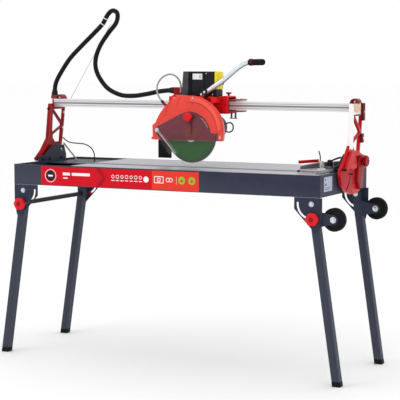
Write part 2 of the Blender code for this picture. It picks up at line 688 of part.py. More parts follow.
def make_rollers():
    profile = [(0, 0.040), (0.004, 0.040), (0.004, 0.031), (ROLLER_RADIUS, 0.031),
               (ROLLER_RADIUS, -0.031), (0.004, -0.031), (0.004, -0.040), (0, -0.040)]
    for side, x in zip(("left", "right"), ROLLER_X):
        roller = turned(f"guide_roller_{side}", profile, (x, BEAM_Y, ROLLER_Z), "Y", 20)
        finish(roller, "zinc_steel", "carriage")


def make_carriage_knob():
    profile = [(0, 0.0205), (0.012, 0.0205), (0.014, 0.018), (0.014, 0.014), (0.011, 0.012),
               (0.005, 0.012), (0.005, GAP), (0, GAP)]
    knob = turned("carriage_lock_knob", profile, (0.160, BEAM_Y, CARRIAGE_Z[1]), "Z")
    finish(knob, "red_plastic", "carriage")


# ---------------------------------------------------------------- head

def guard_outline(inset, bottom):
    """The blade guard seen from the front, drawn in from its edge by the inset."""
    low_right = 0.2218 - inset
    outline = [(low_right, bottom), (0.2264 - inset, 1.0496)]
    outline += arc((0.066, 1.058), 0.1606 - inset, 3, 93, 16)
    outline += arc((0.100, 1.000), 0.2395 - inset, 112, 157, 9)
    outline += [(-0.1375 + inset, 1.0795), (-0.1350 + inset, 1.0180), (-0.1300 + inset, bottom)]
    return outline


def taper_back(item):
    """Draw the rear rim of a guard shape in towards the middle of the guard's bottom edge."""
    rear = max(v.co.y for v in item.data.vertices)
    for vertex in item.data.vertices:
        if vertex.co.y > rear - 0.001:
            vertex.co.x = GUARD_MIDDLE_X + (vertex.co.x - GUARD_MIDDLE_X) * GUARD_TAPER
            vertex.co.z = GUARD_BOTTOM + (vertex.co.z - GUARD_BOTTOM) * GUARD_TAPER
    return item


def make_guard():
    guard = taper_back(outline_plate("guard_shell", guard_outline(0, GUARD_BOTTOM), "XZ", GUARD_Y))
    hollow = (GUARD_Y[0] + GUARD_WALL, GUARD_Y[1] - GUARD_WALL)
    inside = guard_outline(GUARD_WALL, GUARD_BOTTOM - 0.01)
    inside = taper_back(outline_plate("guard_inside", inside, "XZ", hollow))
    shaft_hole = cylinder("guard_shaft_hole", (BLADE_X, GUARD_Y[1], BLADE_Z), "Y", 0.035, 0.02)
    shaft_notch = box("guard_shaft_notch", (BLADE_X - 0.035, BLADE_X + 0.035),
                      (GUARD_Y[1] - 0.01, GUARD_Y[1] + 0.01), (GUARD_BOTTOM - 0.01, BLADE_Z))
    cut(guard, inside, shaft_hole, shaft_notch)
    finish(guard, "guard_red", "head")


def make_mudflap():
    below = GUARD_BOTTOM - 0.002
    outline = [(-0.1270, 0.9280), (-0.0600, 0.9280), (-0.0600, 1.0350), (-0.1090, 1.0350),
               (-0.1090, below), (-0.1270, below)]
    flap = outline_plate("mudflap", outline, "XZ", (-0.0505, -0.0455))
    finish(flap, "black_rubber", "head")


def make_motor():
    """Motor can, the arm up to the head's pivot, the shelf for the switch box, and the handle clamp."""
    motor = cylinder("motor_housing", (MOTOR_X, 0.040, MOTOR_Z), "Y", MOTOR_RADIUS, 0.150, 40)
    cap = cylinder("fan_cover", (MOTOR_X, 0.120, MOTOR_Z), "Y", MOTOR_RADIUS * 0.88, 0.020, 40)
    neck = cylinder("motor_neck", (BLADE_X, -0.035, BLADE_Z), "Y", 0.030, 0.020)
    front = GUARD_Y[1] + GAP
    arm = outline_plate("head_arm", [(-0.078, 1.200), (0.010, 1.020), (0.100, 1.030), (0.140, 1.190),
                                     (0.140, 1.208), (-0.064, 1.208)], "XZ", (front, -0.012))
    boss = cylinder("pivot_boss", (PLUNGE_X, 0.0015, PLUNGE_Z), "Y", 0.020, 0.086, 32)
    shelf = box("switch_shelf", (-0.060, 0.145), (front, 0.0447), (1.180, 1.2107))
    clamp_foot = box("clamp_foot", (0.100, 0.126), (front, -0.0303), (1.190, 1.243))
    clamp = box("handle_clamp", (0.100, 0.126), (-0.0600, -0.0303), (1.2190, 1.243))
    bore = tube("clamp_bore", [(0.060, HANDLE_Y, 1.1955), (0.2097, HANDLE_Y, 1.2902)],
                HANDLE_RADIUS + 0.0005, 4)
    pin_bore = cylinder("head_pin_bore", (PLUNGE_X, 0.0, PLUNGE_Z), "Y", 0.0085, 0.12)
    shaft_bore = cylinder("motor_shaft_bore", (BLADE_X, -0.035, BLADE_Z), "Y", 0.0130, 0.040)
    join(motor, cap, neck, arm, boss, shelf, clamp_foot, clamp)
    cut(motor, bore, pin_bore, shaft_bore)
    finish(motor, "motor_grey", "head")


def make_switch():
    case = outline_plate("switch_box", [(-0.020, 1.211), (0.146, 1.211), (0.1480, 1.3225),
                                        (-0.0095, 1.3225)], "XZ", (-0.030, 0.0447))
    finish(case, "black_plastic", "head")
    plate = box("switch_plate", (0.1483, 0.160), (-0.028, 0.043), (1.243, 1.3225))
    hole = cylinder("button_hole", (0.155, 0.0075, 1.276), "X", 0.0066, 0.03, 20)
    cut(plate, hole)
    finish(plate, "yellow_plastic", "head")
    profile = [(0, 0.024), (0.011, 0.024), (0.014, 0.020), (0.014, 0.015), (0.006, 0.013), (0.006, 0),
               (0, 0)]
    button = turned("stop_button", profile, (0.1545, 0.0075, 1.276), "X")
    finish(button, "red_plastic", "head")


def make_handle():
    bend = [(0.0930, 0, 1.2163), (0.2097, 0, 1.2901), (0.2380, 0, 1.3120), (0.2660, 0, 1.3335),
            (0.2860, 0, 1.3465), (0.3010, -0.001, 1.3550), (0.3170, -0.003, 1.3612)]
    route = [(x, HANDLE_Y + y, z) for x, y, z in bend]
    turn = Vector((0.3340, HANDLE_Y - 0.008, 1.3650))
    along = Vector((0.088, -0.047, 0.001)).normalized()
    route += [tuple(turn + along * reach) for reach in (0, 0.050, 0.080)]
    finish(tube("handle_tube", route, HANDLE_RADIUS, 4), "zinc_steel", "head")
    start = turn + along * 0.004
    profile = [(0, 0.094), (0.0125, 0.094), (0.0140, 0.091), (0.0140, 0.024), (0.0155, 0.021),
               (0.0155, 0.000), (HANDLE_RADIUS + 0.0006, 0.000), (HANDLE_RADIUS + 0.0006, 0.080),
               (0, 0.080)]
    grip = turned("handle_grip", profile, (0, 0, 0), "Z")
    grip.matrix_world = Matrix.Translation(start) @ along.to_track_quat("Z", "Y").to_matrix().to_4x4()
    finish(grip, "black_rubber", "head")


def make_guard_knob():
    profile = [(0, 0.0315), (0.011, 0.0315), (0.0198, 0.028), (0.0215, 0.024), (0.0200, 0.013),
               (0.0040, 0.0125), (0.0040, GAP), (0, GAP)]
    knob = turned("guard_knob", profile, (GUARD_KNOB[0], GUARD_Y[0], GUARD_KNOB[1]), "Y")
    knob.matrix_world = Matrix.Translation(knob.location) @ Matrix.Rotation(math.radians(90), 4, "X")
    finish(knob, "red_plastic", "head")


def make_guard_bolt():
    profile = [(0, 0.0115), (0.009, 0.0115), (0.0105, 0.010), (0.0105, 0.0065), (0.0045, 0.0065),
               (0.0045, GAP), (0, GAP)]
    bolt = turned("guard_bolt", profile, (LENS_PIVOT[0], GUARD_Y[0], LENS_PIVOT[1]), "Y")
    bolt.matrix_world = Matrix.Translation(bolt.location) @ Matrix.Rotation(math.radians(90), 4, "X")
    finish(bolt, "zinc_steel", "head")


def make_head_hoses():
    loop = [(-0.0900, -0.0700, 1.1812), (-0.1130, -0.0650, 1.2030), (-0.1290, -0.0560, 1.2310),
            (-0.1330, -0.0450, 1.2620), (-0.1180, -0.0330, 1.2920), (-0.0870, -0.0220, 1.3090),
            (-0.0550, -0.0150, 1.3010), (-0.0350, -0.0090, 1.2720), (-0.0315, -0.0080, 1.2380),
            (-0.0320, -0.0080, 1.2115)]
    finish(tube("water_loop_hose", smooth_route(loop, 3), 0.0042), "clear_hose", "head")
    cable = []
    for lift, reach, y in ((15, 0.0615, 0.095), (17, 0.0720, 0.096), (15, 0.0840, 0.099),
                           (8, 0.0920, 0.101), (-3, 0.0930, 0.102), (-12, 0.0860, 0.101),
                           (-17, 0.0740, 0.099), (-17, 0.0615, 0.098)):
        lift = math.radians(lift)
        cable.append((MOTOR_X + reach * math.cos(lift), y, MOTOR_Z + reach * math.sin(lift)))
    finish(tube("motor_cable", smooth_route(cable, 3), 0.0032), "black_rubber", "head")


# ---------------------------------------------------------------- blade and lower guard

def make_spindle():
    half = 0.0011
    profile = [(0.0128, half), (0.105, half), (BLADE_RADIUS, half), (BLADE_RADIUS, -half),
               (0.105, -half), (0.0128, -half)]
    blade = turned("blade", profile, (BLADE_X, BLADE_Y, BLADE_Z), "Y", 64)
    finish(blade, "blade_green", "spindle")
    shaft = [(0, 0.060), (0.0122, 0.060), (0.0122, 0.008), (0.030, 0.008), (0.030, 0.0014),
             (0.0122, 0.0014), (0.0122, -0.0014), (0.030, -0.0014), (0.030, -0.006), (0.018, -0.007),
             (0.018, -0.0135), (0, -0.0135)]
    arbor = turned("arbor", shaft, (BLADE_X, BLADE_Y, BLADE_Z), "Y")
    finish(arbor, "zinc_steel", "spindle")


def tangent_angle(a, radius_a, b, radius_b, side):
    """Angle of the touching points of a line laid along two circles."""
    along = math.atan2(b[1] - a[1], b[0] - a[0])
    distance = math.hypot(b[0] - a[0], b[1] - a[1])
    return math.degrees(along + side * math.acos((radius_a - radius_b) / distance))


def make_lens():
    boss = 0.017
    blade = (BLADE_X, BLADE_Z)
    low = tangent_angle(LENS_PIVOT, boss, LENS_CENTRE, LENS_RADIUS, -1)
    high = tangent_angle(LENS_PIVOT, boss, blade, LENS_UPPER_RADIUS, 1)
    outline = arc(blade, LENS_UPPER_RADIUS, 6, high, 14)
    outline += arc(LENS_PIVOT, boss, high, low + 360, 8)
    outline += arc(LENS_CENTRE, LENS_RADIUS, low, 1, 26)
    lens = outline_plate("lower_guard", outline, "XZ", LENS_Y)
    bore = cylinder("lens_bore", (LENS_PIVOT[0], LENS_Y[0], LENS_PIVOT[1]), "Y", 0.0049, 0.02, 16)
    reach = (GUARD_KNOB[0] - LENS_PIVOT[0], GUARD_KNOB[1] - LENS_PIVOT[1])
    knob_angle = math.degrees(math.atan2(reach[1], reach[0]))
    slot = arc_slot(LENS_PIVOT, math.hypot(*reach), 0.0046, knob_angle - 25.5, knob_angle + 0.3)
    cutter = outline_plate("lens_slot", slot, "XZ", (LENS_Y[0] - 0.01, LENS_Y[1] + 0.01))
    cut(lens, bore, cutter)
    finish(lens, "smoked_lens", "lens")


# ---------------------------------------------------------------- fence

def make_fence():
    rail = box("fence_rail", RAIL_X, (-0.210, 0.200), (RAIL_Z, RAIL_Z + 0.004))
    finish(rail, "table_aluminium", "frame")
    slide = box("fence_slide", (0.676, 0.742), (FENCE_PIVOT[1] - 0.022, FENCE_PIVOT[1] + 0.022),
                (RAIL_Z + 0.004 + GAP, FENCE_Z - GAP))
    finish(slide, "fence_grey", "fence_slide")
    a, b = Vector(FENCE_A), Vector(FENCE_B)
    along = (b - a).normalized()
    across = Vector((along.y, -along.x)) * 0.004
    bar = outline_plate("fence_plate", [a - across, b - across, b + across, a + across], "XY",
                        (FENCE_Z, 0.9300))
    strip_end = a + along * 0.125
    strip = outline_plate("fence_strip", [a - across, strip_end - across, strip_end - across * 0.2,
                                          a - across * 0.2], "XY", (0.9290, 0.9430))
    lug = cylinder("fence_lug", (*FENCE_PIVOT, FENCE_Z + 0.0045), "Z", 0.018, 0.009)
    near = a + along * ((Vector(FENCE_PIVOT) - a).dot(along))
    bridge = box("fence_lug_arm", (near.x, FENCE_PIVOT[0]), (FENCE_PIVOT[1] - 0.012,
                                                             FENCE_PIVOT[1] + 0.012),
                 (FENCE_Z, FENCE_Z + 0.009))
    post = a + along * 0.132
    trigger = tube("fence_trigger", [(post.x, post.y, 0.926), (post.x, post.y, 0.955),
                                     (post.x - 0.006, post.y - 0.003, 0.979)], 0.0028)
    join(bar, strip, lug, bridge, trigger)
    finish(bar, "fence_grey", "fence")
    lever_z = FENCE_Z + 0.009 + GAP
    lever = cylinder("fence_lever", (*FENCE_PIVOT, lever_z + 0.014), "Z", 0.012, 0.028)
    arm = tube("fence_lever_arm", [(0.693, 0.024, lever_z + 0.0215), (0.704, 0.055, lever_z + 0.030),
                                   (0.712, 0.085, lever_z + 0.034), (0.714, 0.105, lever_z + 0.032)],
               0.0045)
    join(lever, arm)
    finish(lever, "black_plastic", "fence")


def main():
    make_table_frame()
    make_water_tray()
    make_table_plates()
    make_pump_cover()
    make_pump()
    make_hinge_plates()
    make_legs()
    make_tower_left()
    make_tower_right()
    make_beam()
    make_beam_cap("left", -0.741)
    make_beam_cap("right", 0.778)
    make_bevel_knob()
    make_stay_rod()
    make_conduit()
    make_carriage()
    make_rollers()
    make_carriage_knob()
    make_guard()
    make_mudflap()
    make_motor()
    make_switch()
    make_handle()
    make_guard_knob()
    make_guard_bolt()
    make_head_hoses()
    make_spindle()
    make_lens()
    make_fence()


main()
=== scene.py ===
"""Looks of the wet tile saw: materials, detailed pieces, hoses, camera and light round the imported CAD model.

Places are in metres from the middle of the table frame, as in the CAD source; piece() shifts
each one by SHIFT along X into the model's own frame.
"""
from math import acos, atan2, cos, degrees, dist, pi, radians, sin, tan

import bmesh
import bpy
from mathutils import Matrix, Vector


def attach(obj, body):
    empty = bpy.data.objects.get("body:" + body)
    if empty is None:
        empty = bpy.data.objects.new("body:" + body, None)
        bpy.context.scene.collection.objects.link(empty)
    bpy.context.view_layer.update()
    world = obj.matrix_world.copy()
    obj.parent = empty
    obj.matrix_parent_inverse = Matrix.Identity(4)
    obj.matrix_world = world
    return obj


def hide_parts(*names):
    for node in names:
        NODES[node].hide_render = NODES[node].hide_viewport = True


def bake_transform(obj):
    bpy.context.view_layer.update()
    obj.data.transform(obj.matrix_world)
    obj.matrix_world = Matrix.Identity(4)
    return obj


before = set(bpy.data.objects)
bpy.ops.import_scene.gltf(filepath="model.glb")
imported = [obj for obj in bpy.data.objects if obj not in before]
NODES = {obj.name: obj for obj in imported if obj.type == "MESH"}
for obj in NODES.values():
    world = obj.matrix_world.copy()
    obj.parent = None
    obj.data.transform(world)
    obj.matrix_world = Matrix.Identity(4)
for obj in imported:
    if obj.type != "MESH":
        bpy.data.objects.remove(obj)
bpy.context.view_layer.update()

LEG_LEAN = radians(8.6)
LEG_PIVOT_X = {"left": -0.715, "right": 0.727}
LEG_PIVOT_Z = 0.7722
LEG_Y = 0.2605
WHEEL = (0.822, 0.709)
WHEEL_RADIUS = 0.05
WHEEL_Y = {"front": -0.2547, "rear": 0.2627}
CARRIER_FACE = {"front": -0.2742, "rear": 0.2432}
LEFT_END = LEG_PIVOT_X["left"] - LEG_PIVOT_Z * tan(LEG_LEAN) - 0.0185
SHIFT = -(WHEEL[0] + WHEEL_RADIUS + LEFT_END) / 2

FRAME_X = 0.765
FRAME_Y = 0.279
TILT = (-0.08, 0.905)
BLADE = (0.0593, 1.0377)
BLADE_Y = -0.08
PIVOT = (-0.05, 1.196)
MOTOR = (0.088, 1.066)
GUARD_FRONT = -0.0985
GUARD_BACK = -0.042
GUARD_BOTTOM = 1.0137
GUARD_TAPER = 0.1
GUARD_ARC = (0.066, 1.058)
LENS_PIVOT = (-0.1045, 1.0576)
LENS_CENTRE = (0.062, 1.046)
GUARD_KNOB = (0.0595, 1.12)
BEAM_Y = 0.0975
BEAM_SIDES = (0.0675, 0.1275)
CONDUIT_Y = 0.0985
STOP = (0.0075, 1.276)
BEVEL_STUD = (0.0226, 0.88)
BEVEL_LOCK = (0.7995, 0.14, 0.93)
FENCE_PIVOT = (0.69, 0.02)
BEAM_Z = (1.148, 1.186)


def link(item):
    bpy.context.scene.collection.objects.link(item)


# ---------------------------------------------------------------- camera and light

def make_camera():
    data = bpy.data.cameras.new("camera")
    camera = bpy.data.objects.new("camera", data)
    link(camera)
    back = Vector((0.44586, -0.88967, 0.09847)).normalized()
    right = Vector((0.894, 0.4481, 0)).normalized()
    up = back.cross(right)
    place = Vector((3.0536 + SHIFT, -5.9692, 1.3967))
    camera.matrix_world = Matrix(((right.x, up.x, back.x, place.x), (right.y, up.y, back.y, place.y),
        (right.z, up.z, back.z, place.z), (0, 0, 0, 1)))
    data.lens = 131.85
    data.sensor_width = 36
    data.clip_end = 200
    bpy.context.scene.camera = camera


def area_light(name, place, target, size, power):
    data = bpy.data.lights.new(name, "AREA")
    data.shape = "RECTANGLE"
    data.size, data.size_y = size
    data.energy = power
    light = bpy.data.objects.new(name, data)
    link(light)
    light.location = place
    aim = Vector(target) - Vector(place)
    light.rotation_mode = "QUATERNION"
    light.rotation_quaternion = aim.to_track_quat("-Z", "Y")


def make_studio():
    world = bpy.data.worlds.new("studio")
    bpy.context.scene.world = world
    world.use_nodes = True
    sky = world.node_tree.nodes["Background"]
    fill(sky, {"Color": (1, 1, 1, 1), "Strength": 1})
    bpy.context.scene.view_settings.view_transform = "Standard"
    area_light("key", (-2.2, -3.4, 3.6), (0, 0, 0.8), (2.6, 2.0), 26)
    area_light("fill", (3.6, -2.4, 2.4), (0, 0, 0.9), (2.4, 2.0), 7)
    area_light("back", (0.5, 3.8, 3.2), (0, 0, 0.9), (3.0, 1.6), 12)
    shape = bmesh.new()
    bmesh.ops.create_grid(shape, x_segments=4, y_segments=4, size=60)
    mesh = bpy.data.meshes.new("floor")
    shape.to_mesh(mesh)
    shape.free()
    floor = bpy.data.objects.new("floor", mesh)
    link(floor)
    paint = bpy.data.materials.new("floor")
    paint.use_nodes = True
    shader = paint.node_tree.nodes["Principled BSDF"]
    fill(shader, {"Base Color": (0.99, 0.99, 0.99, 1), "Roughness": 0.9, "Specular IOR Level": 0.1})
    mesh.materials.append(paint)


# ---------------------------------------------------------------- materials

def fill(node, values):
    """Set a shader node's inputs by name."""
    for key, value in values.items():
        node.inputs[key].default_value = value


def add(tree, kind, **values):
    node = tree.nodes.new(kind)
    for key, value in values.items():
        setattr(node, key, value)
    return node


def noise_at(tree, source, scale, stretch=(1, 1, 1), detail=4.0, rough=0.55):
    spread = add(tree, "ShaderNodeMapping")
    fill(spread, {"Scale": stretch})
    tree.links.new(source, spread.inputs["Vector"])
    noise = add(tree, "ShaderNodeTexNoise")
    fill(noise, {"Scale": scale, "Detail": detail, "Roughness": rough})
    tree.links.new(spread.outputs["Vector"], noise.inputs["Vector"])
    return noise.outputs["Fac"]


def ranged(tree, source, low, high, to_low, to_high):
    node = add(tree, "ShaderNodeMapRange")
    fill(node, {"From Min": low, "From Max": high, "To Min": to_low, "To Max": to_high})
    tree.links.new(source, node.inputs["Value"])
    return node.outputs["Result"]


def mixed(tree, factor, first, second):
    """Mix two colours by a factor; each may be a value or a socket."""
    node = add(tree, "ShaderNodeMix", data_type="RGBA")
    tree.links.new(factor, node.inputs["Factor"])
    for socket, value in ((node.inputs[6], first), (node.inputs[7], second)):
        if isinstance(value, tuple):
            socket.default_value = (*value, 1)
        else:
            tree.links.new(value, socket)
    return node.outputs[2]


def shade(colour, factor):
    return tuple(min(1.0, c * factor) for c in colour)


def surface(name, colour, rough, vary=0.12, mottle=14, grain=700, bump=0.12, wear=0, wear_and_highlight_tone=(0.5, 0.5, 0.5),
        edge=0, coat=0, metal=0, swing=0.08, stretch=(1, 1, 1)):
    """A procedural finish: mottled colour, uneven gloss, fine grain in the bump, scuffs, and edges lightened
    both as rubbed wear and as a painted highlight.
    """
    made = bpy.data.materials.new(name)
    made.use_nodes = True
    tree = made.node_tree
    shader = tree.nodes["Principled BSDF"]
    place = add(tree, "ShaderNodeTexCoord").outputs["Object"]
    broad = noise_at(tree, place, mottle, stretch)
    fine = noise_at(tree, place, grain, stretch, 3.0, 0.6)
    tone = mixed(tree, ranged(tree, broad, 0.3, 0.7, 0, 1), shade(colour, 1 - vary), shade(colour, 1 + vary))
    if wear > 0:
        scuff = noise_at(tree, place, 46.0, (1.0, 2.4, 0.7), 9.0, 0.72)
        tone = mixed(tree, ranged(tree, scuff, 0.66, 0.74, 0, wear), tone, wear_and_highlight_tone)
    # Sharp edges lighten towards the worn colour: partly rubbed wear, partly a painted edge highlight.
    if edge > 0:
        corner = add(tree, "ShaderNodeNewGeometry").outputs["Pointiness"]
        tone = mixed(tree, ranged(tree, corner, 0.54, 0.62, 0, edge), tone, wear_and_highlight_tone)
    tree.links.new(tone, shader.inputs["Base Color"])
    gloss = ranged(tree, broad, 0.25, 0.75, max(0.02, rough - swing), min(1.0, rough + swing))
    tree.links.new(gloss, shader.inputs["Roughness"])
    relief = add(tree, "ShaderNodeBump")
    fill(relief, {"Strength": bump, "Distance": 0.0006})
    tree.links.new(fine, relief.inputs["Height"])
    tree.links.new(relief.outputs["Normal"], shader.inputs["Normal"])
    fill(shader, {"Metallic": metal, "Specular IOR Level": 0.5 if metal > 0.5 else 0.12,
                  "Coat Weight": coat * 0.15, "Coat Roughness": 0.12})
    return made


# Each row gives surface() its values in order; what a row leaves out keeps its default.
FINISHES = {"slate": ("slate_paint", (0.029, 0.033, 0.058), 0.42, 0.1, 14, 520, 0.22, 0.2,
    (0.075, 0.082, 0.105), 0.4), "black_steel": ("black_steel", (0.01, 0.011, 0.015), 0.45, 0.15, 14, 520,
    0.2, 0.2, (0.1, 0.1, 0.12)), "red": ("red_paint", (0.54, 0.003, 0.008), 0.3, 0.1, 14, 420, 0.14, 0.18,
    # The carriage red row is a painted lit copy of the red paint: the same red made brighter for the carriage
    # casting and motor arm, which sit in shade.
    (0.3, 0.05, 0.05), 0.3, 0.35), "lit_copy_red": ("carriage_red", (0.86, 0.008, 0.014), 0.32, 0.1, 14, 420,
    # The deep red row is a darker red for small parts and also painted shade on the towers' shaded faces.
    0.14, 0.18, (0.4, 0.05, 0.05), 0.3, 0.3), "deep_red": ("deep_red_paint", (0.27, 0.002, 0.006), 0.34,
    0.16, 14, 420, 0.16, 0.2, (0.34, 0.04, 0.04), 0.3, 0.2),
    "brown_red": ("oxide_red_paint", (0.23, 0.022, 0.026), 0.42, 0.2, 14, 420, 0.2, 0.3, (0.42, 0.3, 0.28),
    0.5), "dark_red": ("dark_red_paint", (0.115, 0.003, 0.007), 0.36, 0.16, 14, 420, 0.16, 0.2,
    (0.3, 0.1, 0.1), 0.4), "dusty_red": ("dusty_red_paint", (0.4, 0.008, 0.014), 0.4, 0.22, 22, 420, 0.16,
    # The pale paint row is a painted highlight: a near-white red for the glare on the right tower's front
    # column.
    0.4, (0.44, 0.05, 0.056), 0.3), "pale_red": ("pale_paint", (0.93, 0.89, 0.89), 0.3, 0.06, 14, 420, 0.1,
    0.2, (0.62, 0.4, 0.4), 0, 0.2), "guard": ("guard_red", (0.74, 0.062, 0.046), 0.34, 0.07, 9, 620, 0.16,
    # The guard rim red row is a painted highlight: a lighter red for the light caught along the guard's
    # rounded rim.
    0.12, (0.86, 0.2, 0.15), 0.3, 0.15), "guard_painted_highlight": ("guard_rim_red", (0.84, 0.105, 0.075), 0.32, 0.06,
    # The maroon row is the grip band's maroon and also painted shade: the dark sheet under the lens for the
    # shadowed inside of the guard.
    14, 620, 0.14, 0.12, (0.9, 0.3, 0.22), 0, 0.2), "maroon": ("guard_face_maroon", (0.14, 0.003, 0.02), 0.4,
    0.3, 20, 620, 0.14, 0.3, (0.32, 0.05, 0.07)), "seam": ("seam_shadow", (0.16, 0.008, 0.01), 0.55, 0.2, 14,
    620, 0.1), "knob": ("knob_red", (0.68, 0.012, 0.02), 0.34, 0.08, 40, 900, 0.2, 0.12, (0.8, 0.12, 0.12),
    0, 0.1), "black": ("black_plastic", (0.012, 0.012, 0.016), 0.42, 0.25, 30, 1100, 0.3, 0.2,
    (0.05, 0.05, 0.055)), "grey_plastic": ("charcoal_plastic", (0.056, 0.057, 0.066), 0.46, 0.2, 30, 1100,
    0.3, 0.2, (0.1, 0.1, 0.11)), "rubber": ("black_rubber", (0.007, 0.007, 0.008), 0.66, 0.3, 40, 800, 0.4,
    0.3, (0.03, 0.028, 0.027)), "tray": ("tray_black", (0.007, 0.008, 0.011), 0.5, 0.3, 10, 600, 0.25, 0.3,
    (0.035, 0.036, 0.038)), "table": ("table_aluminium", (0.39, 0.395, 0.43), 0.36, 0.07, 6, 260, 0.1, 0.22,
    (0.78, 0.78, 0.82), 0, 0, 0.35, 0.06, (0.06, 1, 1)),
    "beam": ("beam_aluminium", (0.74, 0.74, 0.755), 0.3, 0.05, 5, 900, 0.1, 0.08, (0.55, 0.55, 0.57), 0, 0,
    # The beam groove row is painted shade: a dark aluminium for the shade inside the beam's grooves.
    0.55, 0.05, (0.03, 1, 1)), "beam_dark": ("beam_groove", (0.24, 0.24, 0.25), 0.4, 0.1, 5, 900, 0.1, 0,
    (0.5, 0.5, 0.5), 0, 0, 0.6, 0.08, (0.03, 1, 1)),
    "zinc": ("zinc_steel", (0.62, 0.63, 0.65), 0.26, 0.14, 60, 900, 0.14, 0.2, (0.38, 0.38, 0.36), 0, 0,
    0.9), "chrome": ("chromed_tube", (0.66, 0.69, 0.73), 0.16, 0.06, 20, 900, 0.05, 0.1, (0.55, 0.55, 0.57),
    0, 0, 0.95, 0.05), "motor": ("motor_grey", (0.022, 0.036, 0.036), 0.44, 0.14, 20, 420, 0.35, 0.25,
    (0.13, 0.15, 0.15), 0.4, 0, 0.3), "yellow": ("yellow_plastic", (0.88, 0.7, 0.004), 0.34, 0.07, 40, 1100,
    0.2, 0.15, (0.62, 0.47, 0.02), 0, 0.1), "fence": ("fence_grey", (0.16, 0.195, 0.2), 0.38, 0.1, 24, 700,
    0.16, 0.25, (0.45, 0.48, 0.48), 0, 0, 0.45, 0.08, (1, 0.3, 1)),
    "pale": ("pale_edge", (0.78, 0.74, 0.72), 0.36, 0.08, 40, 900, 0.12, 0.2, (0.5, 0.44, 0.42), 0, 0, 0.2),
    "beige": ("beige_block", (0.72, 0.52, 0.34), 0.42, 0.14, 60, 900, 0.2, 0.4, (0.6, 0.26, 0.16)),
    "hose": ("clear_hose", (0.34, 0.35, 0.33), 0.22, 0.06, 60, 900, 0.08, 0, (0.5, 0.5, 0.5), 0, 0.3),
    "cord": ("cord_grey", (0.028, 0.029, 0.032), 0.5, 0.2, 60, 1200, 0.3),
    "conduit": ("conduit_black", (0.006, 0.006, 0.007), 0.36, 0.25, 26, 900, 0.25, 0.25,
    (0.05, 0.05, 0.052)), "decal_red": ("decal_red", (0.6, 0.002, 0.012), 0.34, 0.04, 14, 900, 0.04, 0.12,
    (0.72, 0.06, 0.06), 0, 0.2), "decal_orange": ("decal_orange", (0.74, 0.04, 0.022), 0.34, 0.04, 14, 900,
    0.04, 0.12, (0.8, 0.1, 0.06), 0, 0.2), "decal_dark": ("decal_dark", (0.36, 0.004, 0.014), 0.34, 0.1, 14,
    # The white decal row is real white print and also a painted highlight on the lens ribs.
    900, 0.04), "decal_white": ("decal_white", (0.86, 0.82, 0.82), 0.4, 0.05, 14, 900, 0.04),
    "decal_black": ("decal_black", (0.018, 0.016, 0.018), 0.4, 0.1, 14, 900, 0.04),
    "decal_green": ("decal_green", (0.22, 0.5, 0.035), 0.4, 0.08, 14, 900, 0.04),
    "decal_blue": ("label_blue_grey", (0.4, 0.46, 0.56), 0.4, 0.06, 14, 900, 0.05, 0.15, (0.6, 0.64, 0.7)),
    "decal_slate": ("label_marks", (0.16, 0.19, 0.26), 0.45, 0.1, 14, 900, 0.05),}


def make_materials():
    made = {key: surface(*row) for key, row in FINISHES.items()}
    made["blade"] = blade_material()
    made["lens"] = lens_material()
    return made


def blade_material():
    """Green disc with a darker grit rim."""
    made = surface("blade_green", (0.008, 0.088, 0.006), 0.42, metal=0.1, vary=0.1, mottle=30, grain=900,
        bump=0.15, wear=0.2, wear_and_highlight_tone=(0.05, 0.18, 0.04))
    tree = made.node_tree
    shader = tree.nodes["Principled BSDF"]
    tone = shader.inputs["Base Color"].links[0].from_socket
    place = add(tree, "ShaderNodeTexCoord").outputs["Object"]
    offset = add(tree, "ShaderNodeVectorMath", operation="SUBTRACT")
    offset.inputs[1].default_value = (BLADE[0] + SHIFT, BLADE_Y, BLADE[1])
    tree.links.new(place, offset.inputs[0])
    radius = add(tree, "ShaderNodeVectorMath", operation="LENGTH")
    tree.links.new(offset.outputs["Vector"], radius.inputs[0])
    rim = ranged(tree, radius.outputs["Value"], 0.113, 0.1136, 0, 1)
    tree.links.new(mixed(tree, rim, tone, (0.03, 0.055, 0.03)), shader.inputs["Base Color"])
    return made


def lens_material():
    """Lightly smoked clear plastic with faint scuffs."""
    made = bpy.data.materials.new("smoked_lens")
    made.use_nodes = True
    tree = made.node_tree
    shader = tree.nodes["Principled BSDF"]
    place = add(tree, "ShaderNodeTexCoord").outputs["Object"]
    haze = noise_at(tree, place, 22.0, (1, 1, 1), 6.0)
    tone = mixed(tree, ranged(tree, haze, 0.3, 0.7, 0, 1), (0.34, 0.36, 0.35), (0.5, 0.52, 0.51))
    tree.links.new(tone, shader.inputs["Base Color"])
    tree.links.new(ranged(tree, haze, 0.35, 0.75, 0.05, 0.14), shader.inputs["Roughness"])
    fill(shader, {"Alpha": 0.05, "Specular IOR Level": 0.25})
    return made


# ---------------------------------------------------------------- shapes

def facing_out(shape):
    """Turn the faces of a closed shape to the outside."""
    bmesh.ops.recalc_face_normals(shape, faces=shape.faces)
    return shape


def arc(centre, radius, start, end, count):
    angles = [radians(start + (end - start) * i / (count - 1)) for i in range(count)]
    return [(centre[0] + radius * cos(a), centre[1] + radius * sin(a)) for a in angles]


def ring(centre, radius, count=28):
    return arc(centre, radius, 0, 360, count + 1)[:-1]


def bearing(a, b):
    """Direction from one point to another, in degrees."""
    return degrees(atan2(b[1] - a[1], b[0] - a[0]))


def arc_slot(centre, radius, half_width, start, end, count=18):
    first = arc(centre, radius, start, start, 2)[0]
    last = arc(centre, radius, end, end, 2)[0]
    outline = arc(centre, radius + half_width, start, end, count)
    outline += arc(last, half_width, end, end + 180, 9)[1:-1]
    outline += arc(centre, radius - half_width, end, start, count)
    return outline + arc(first, half_width, start + 180, start + 360, 9)[1:-1]


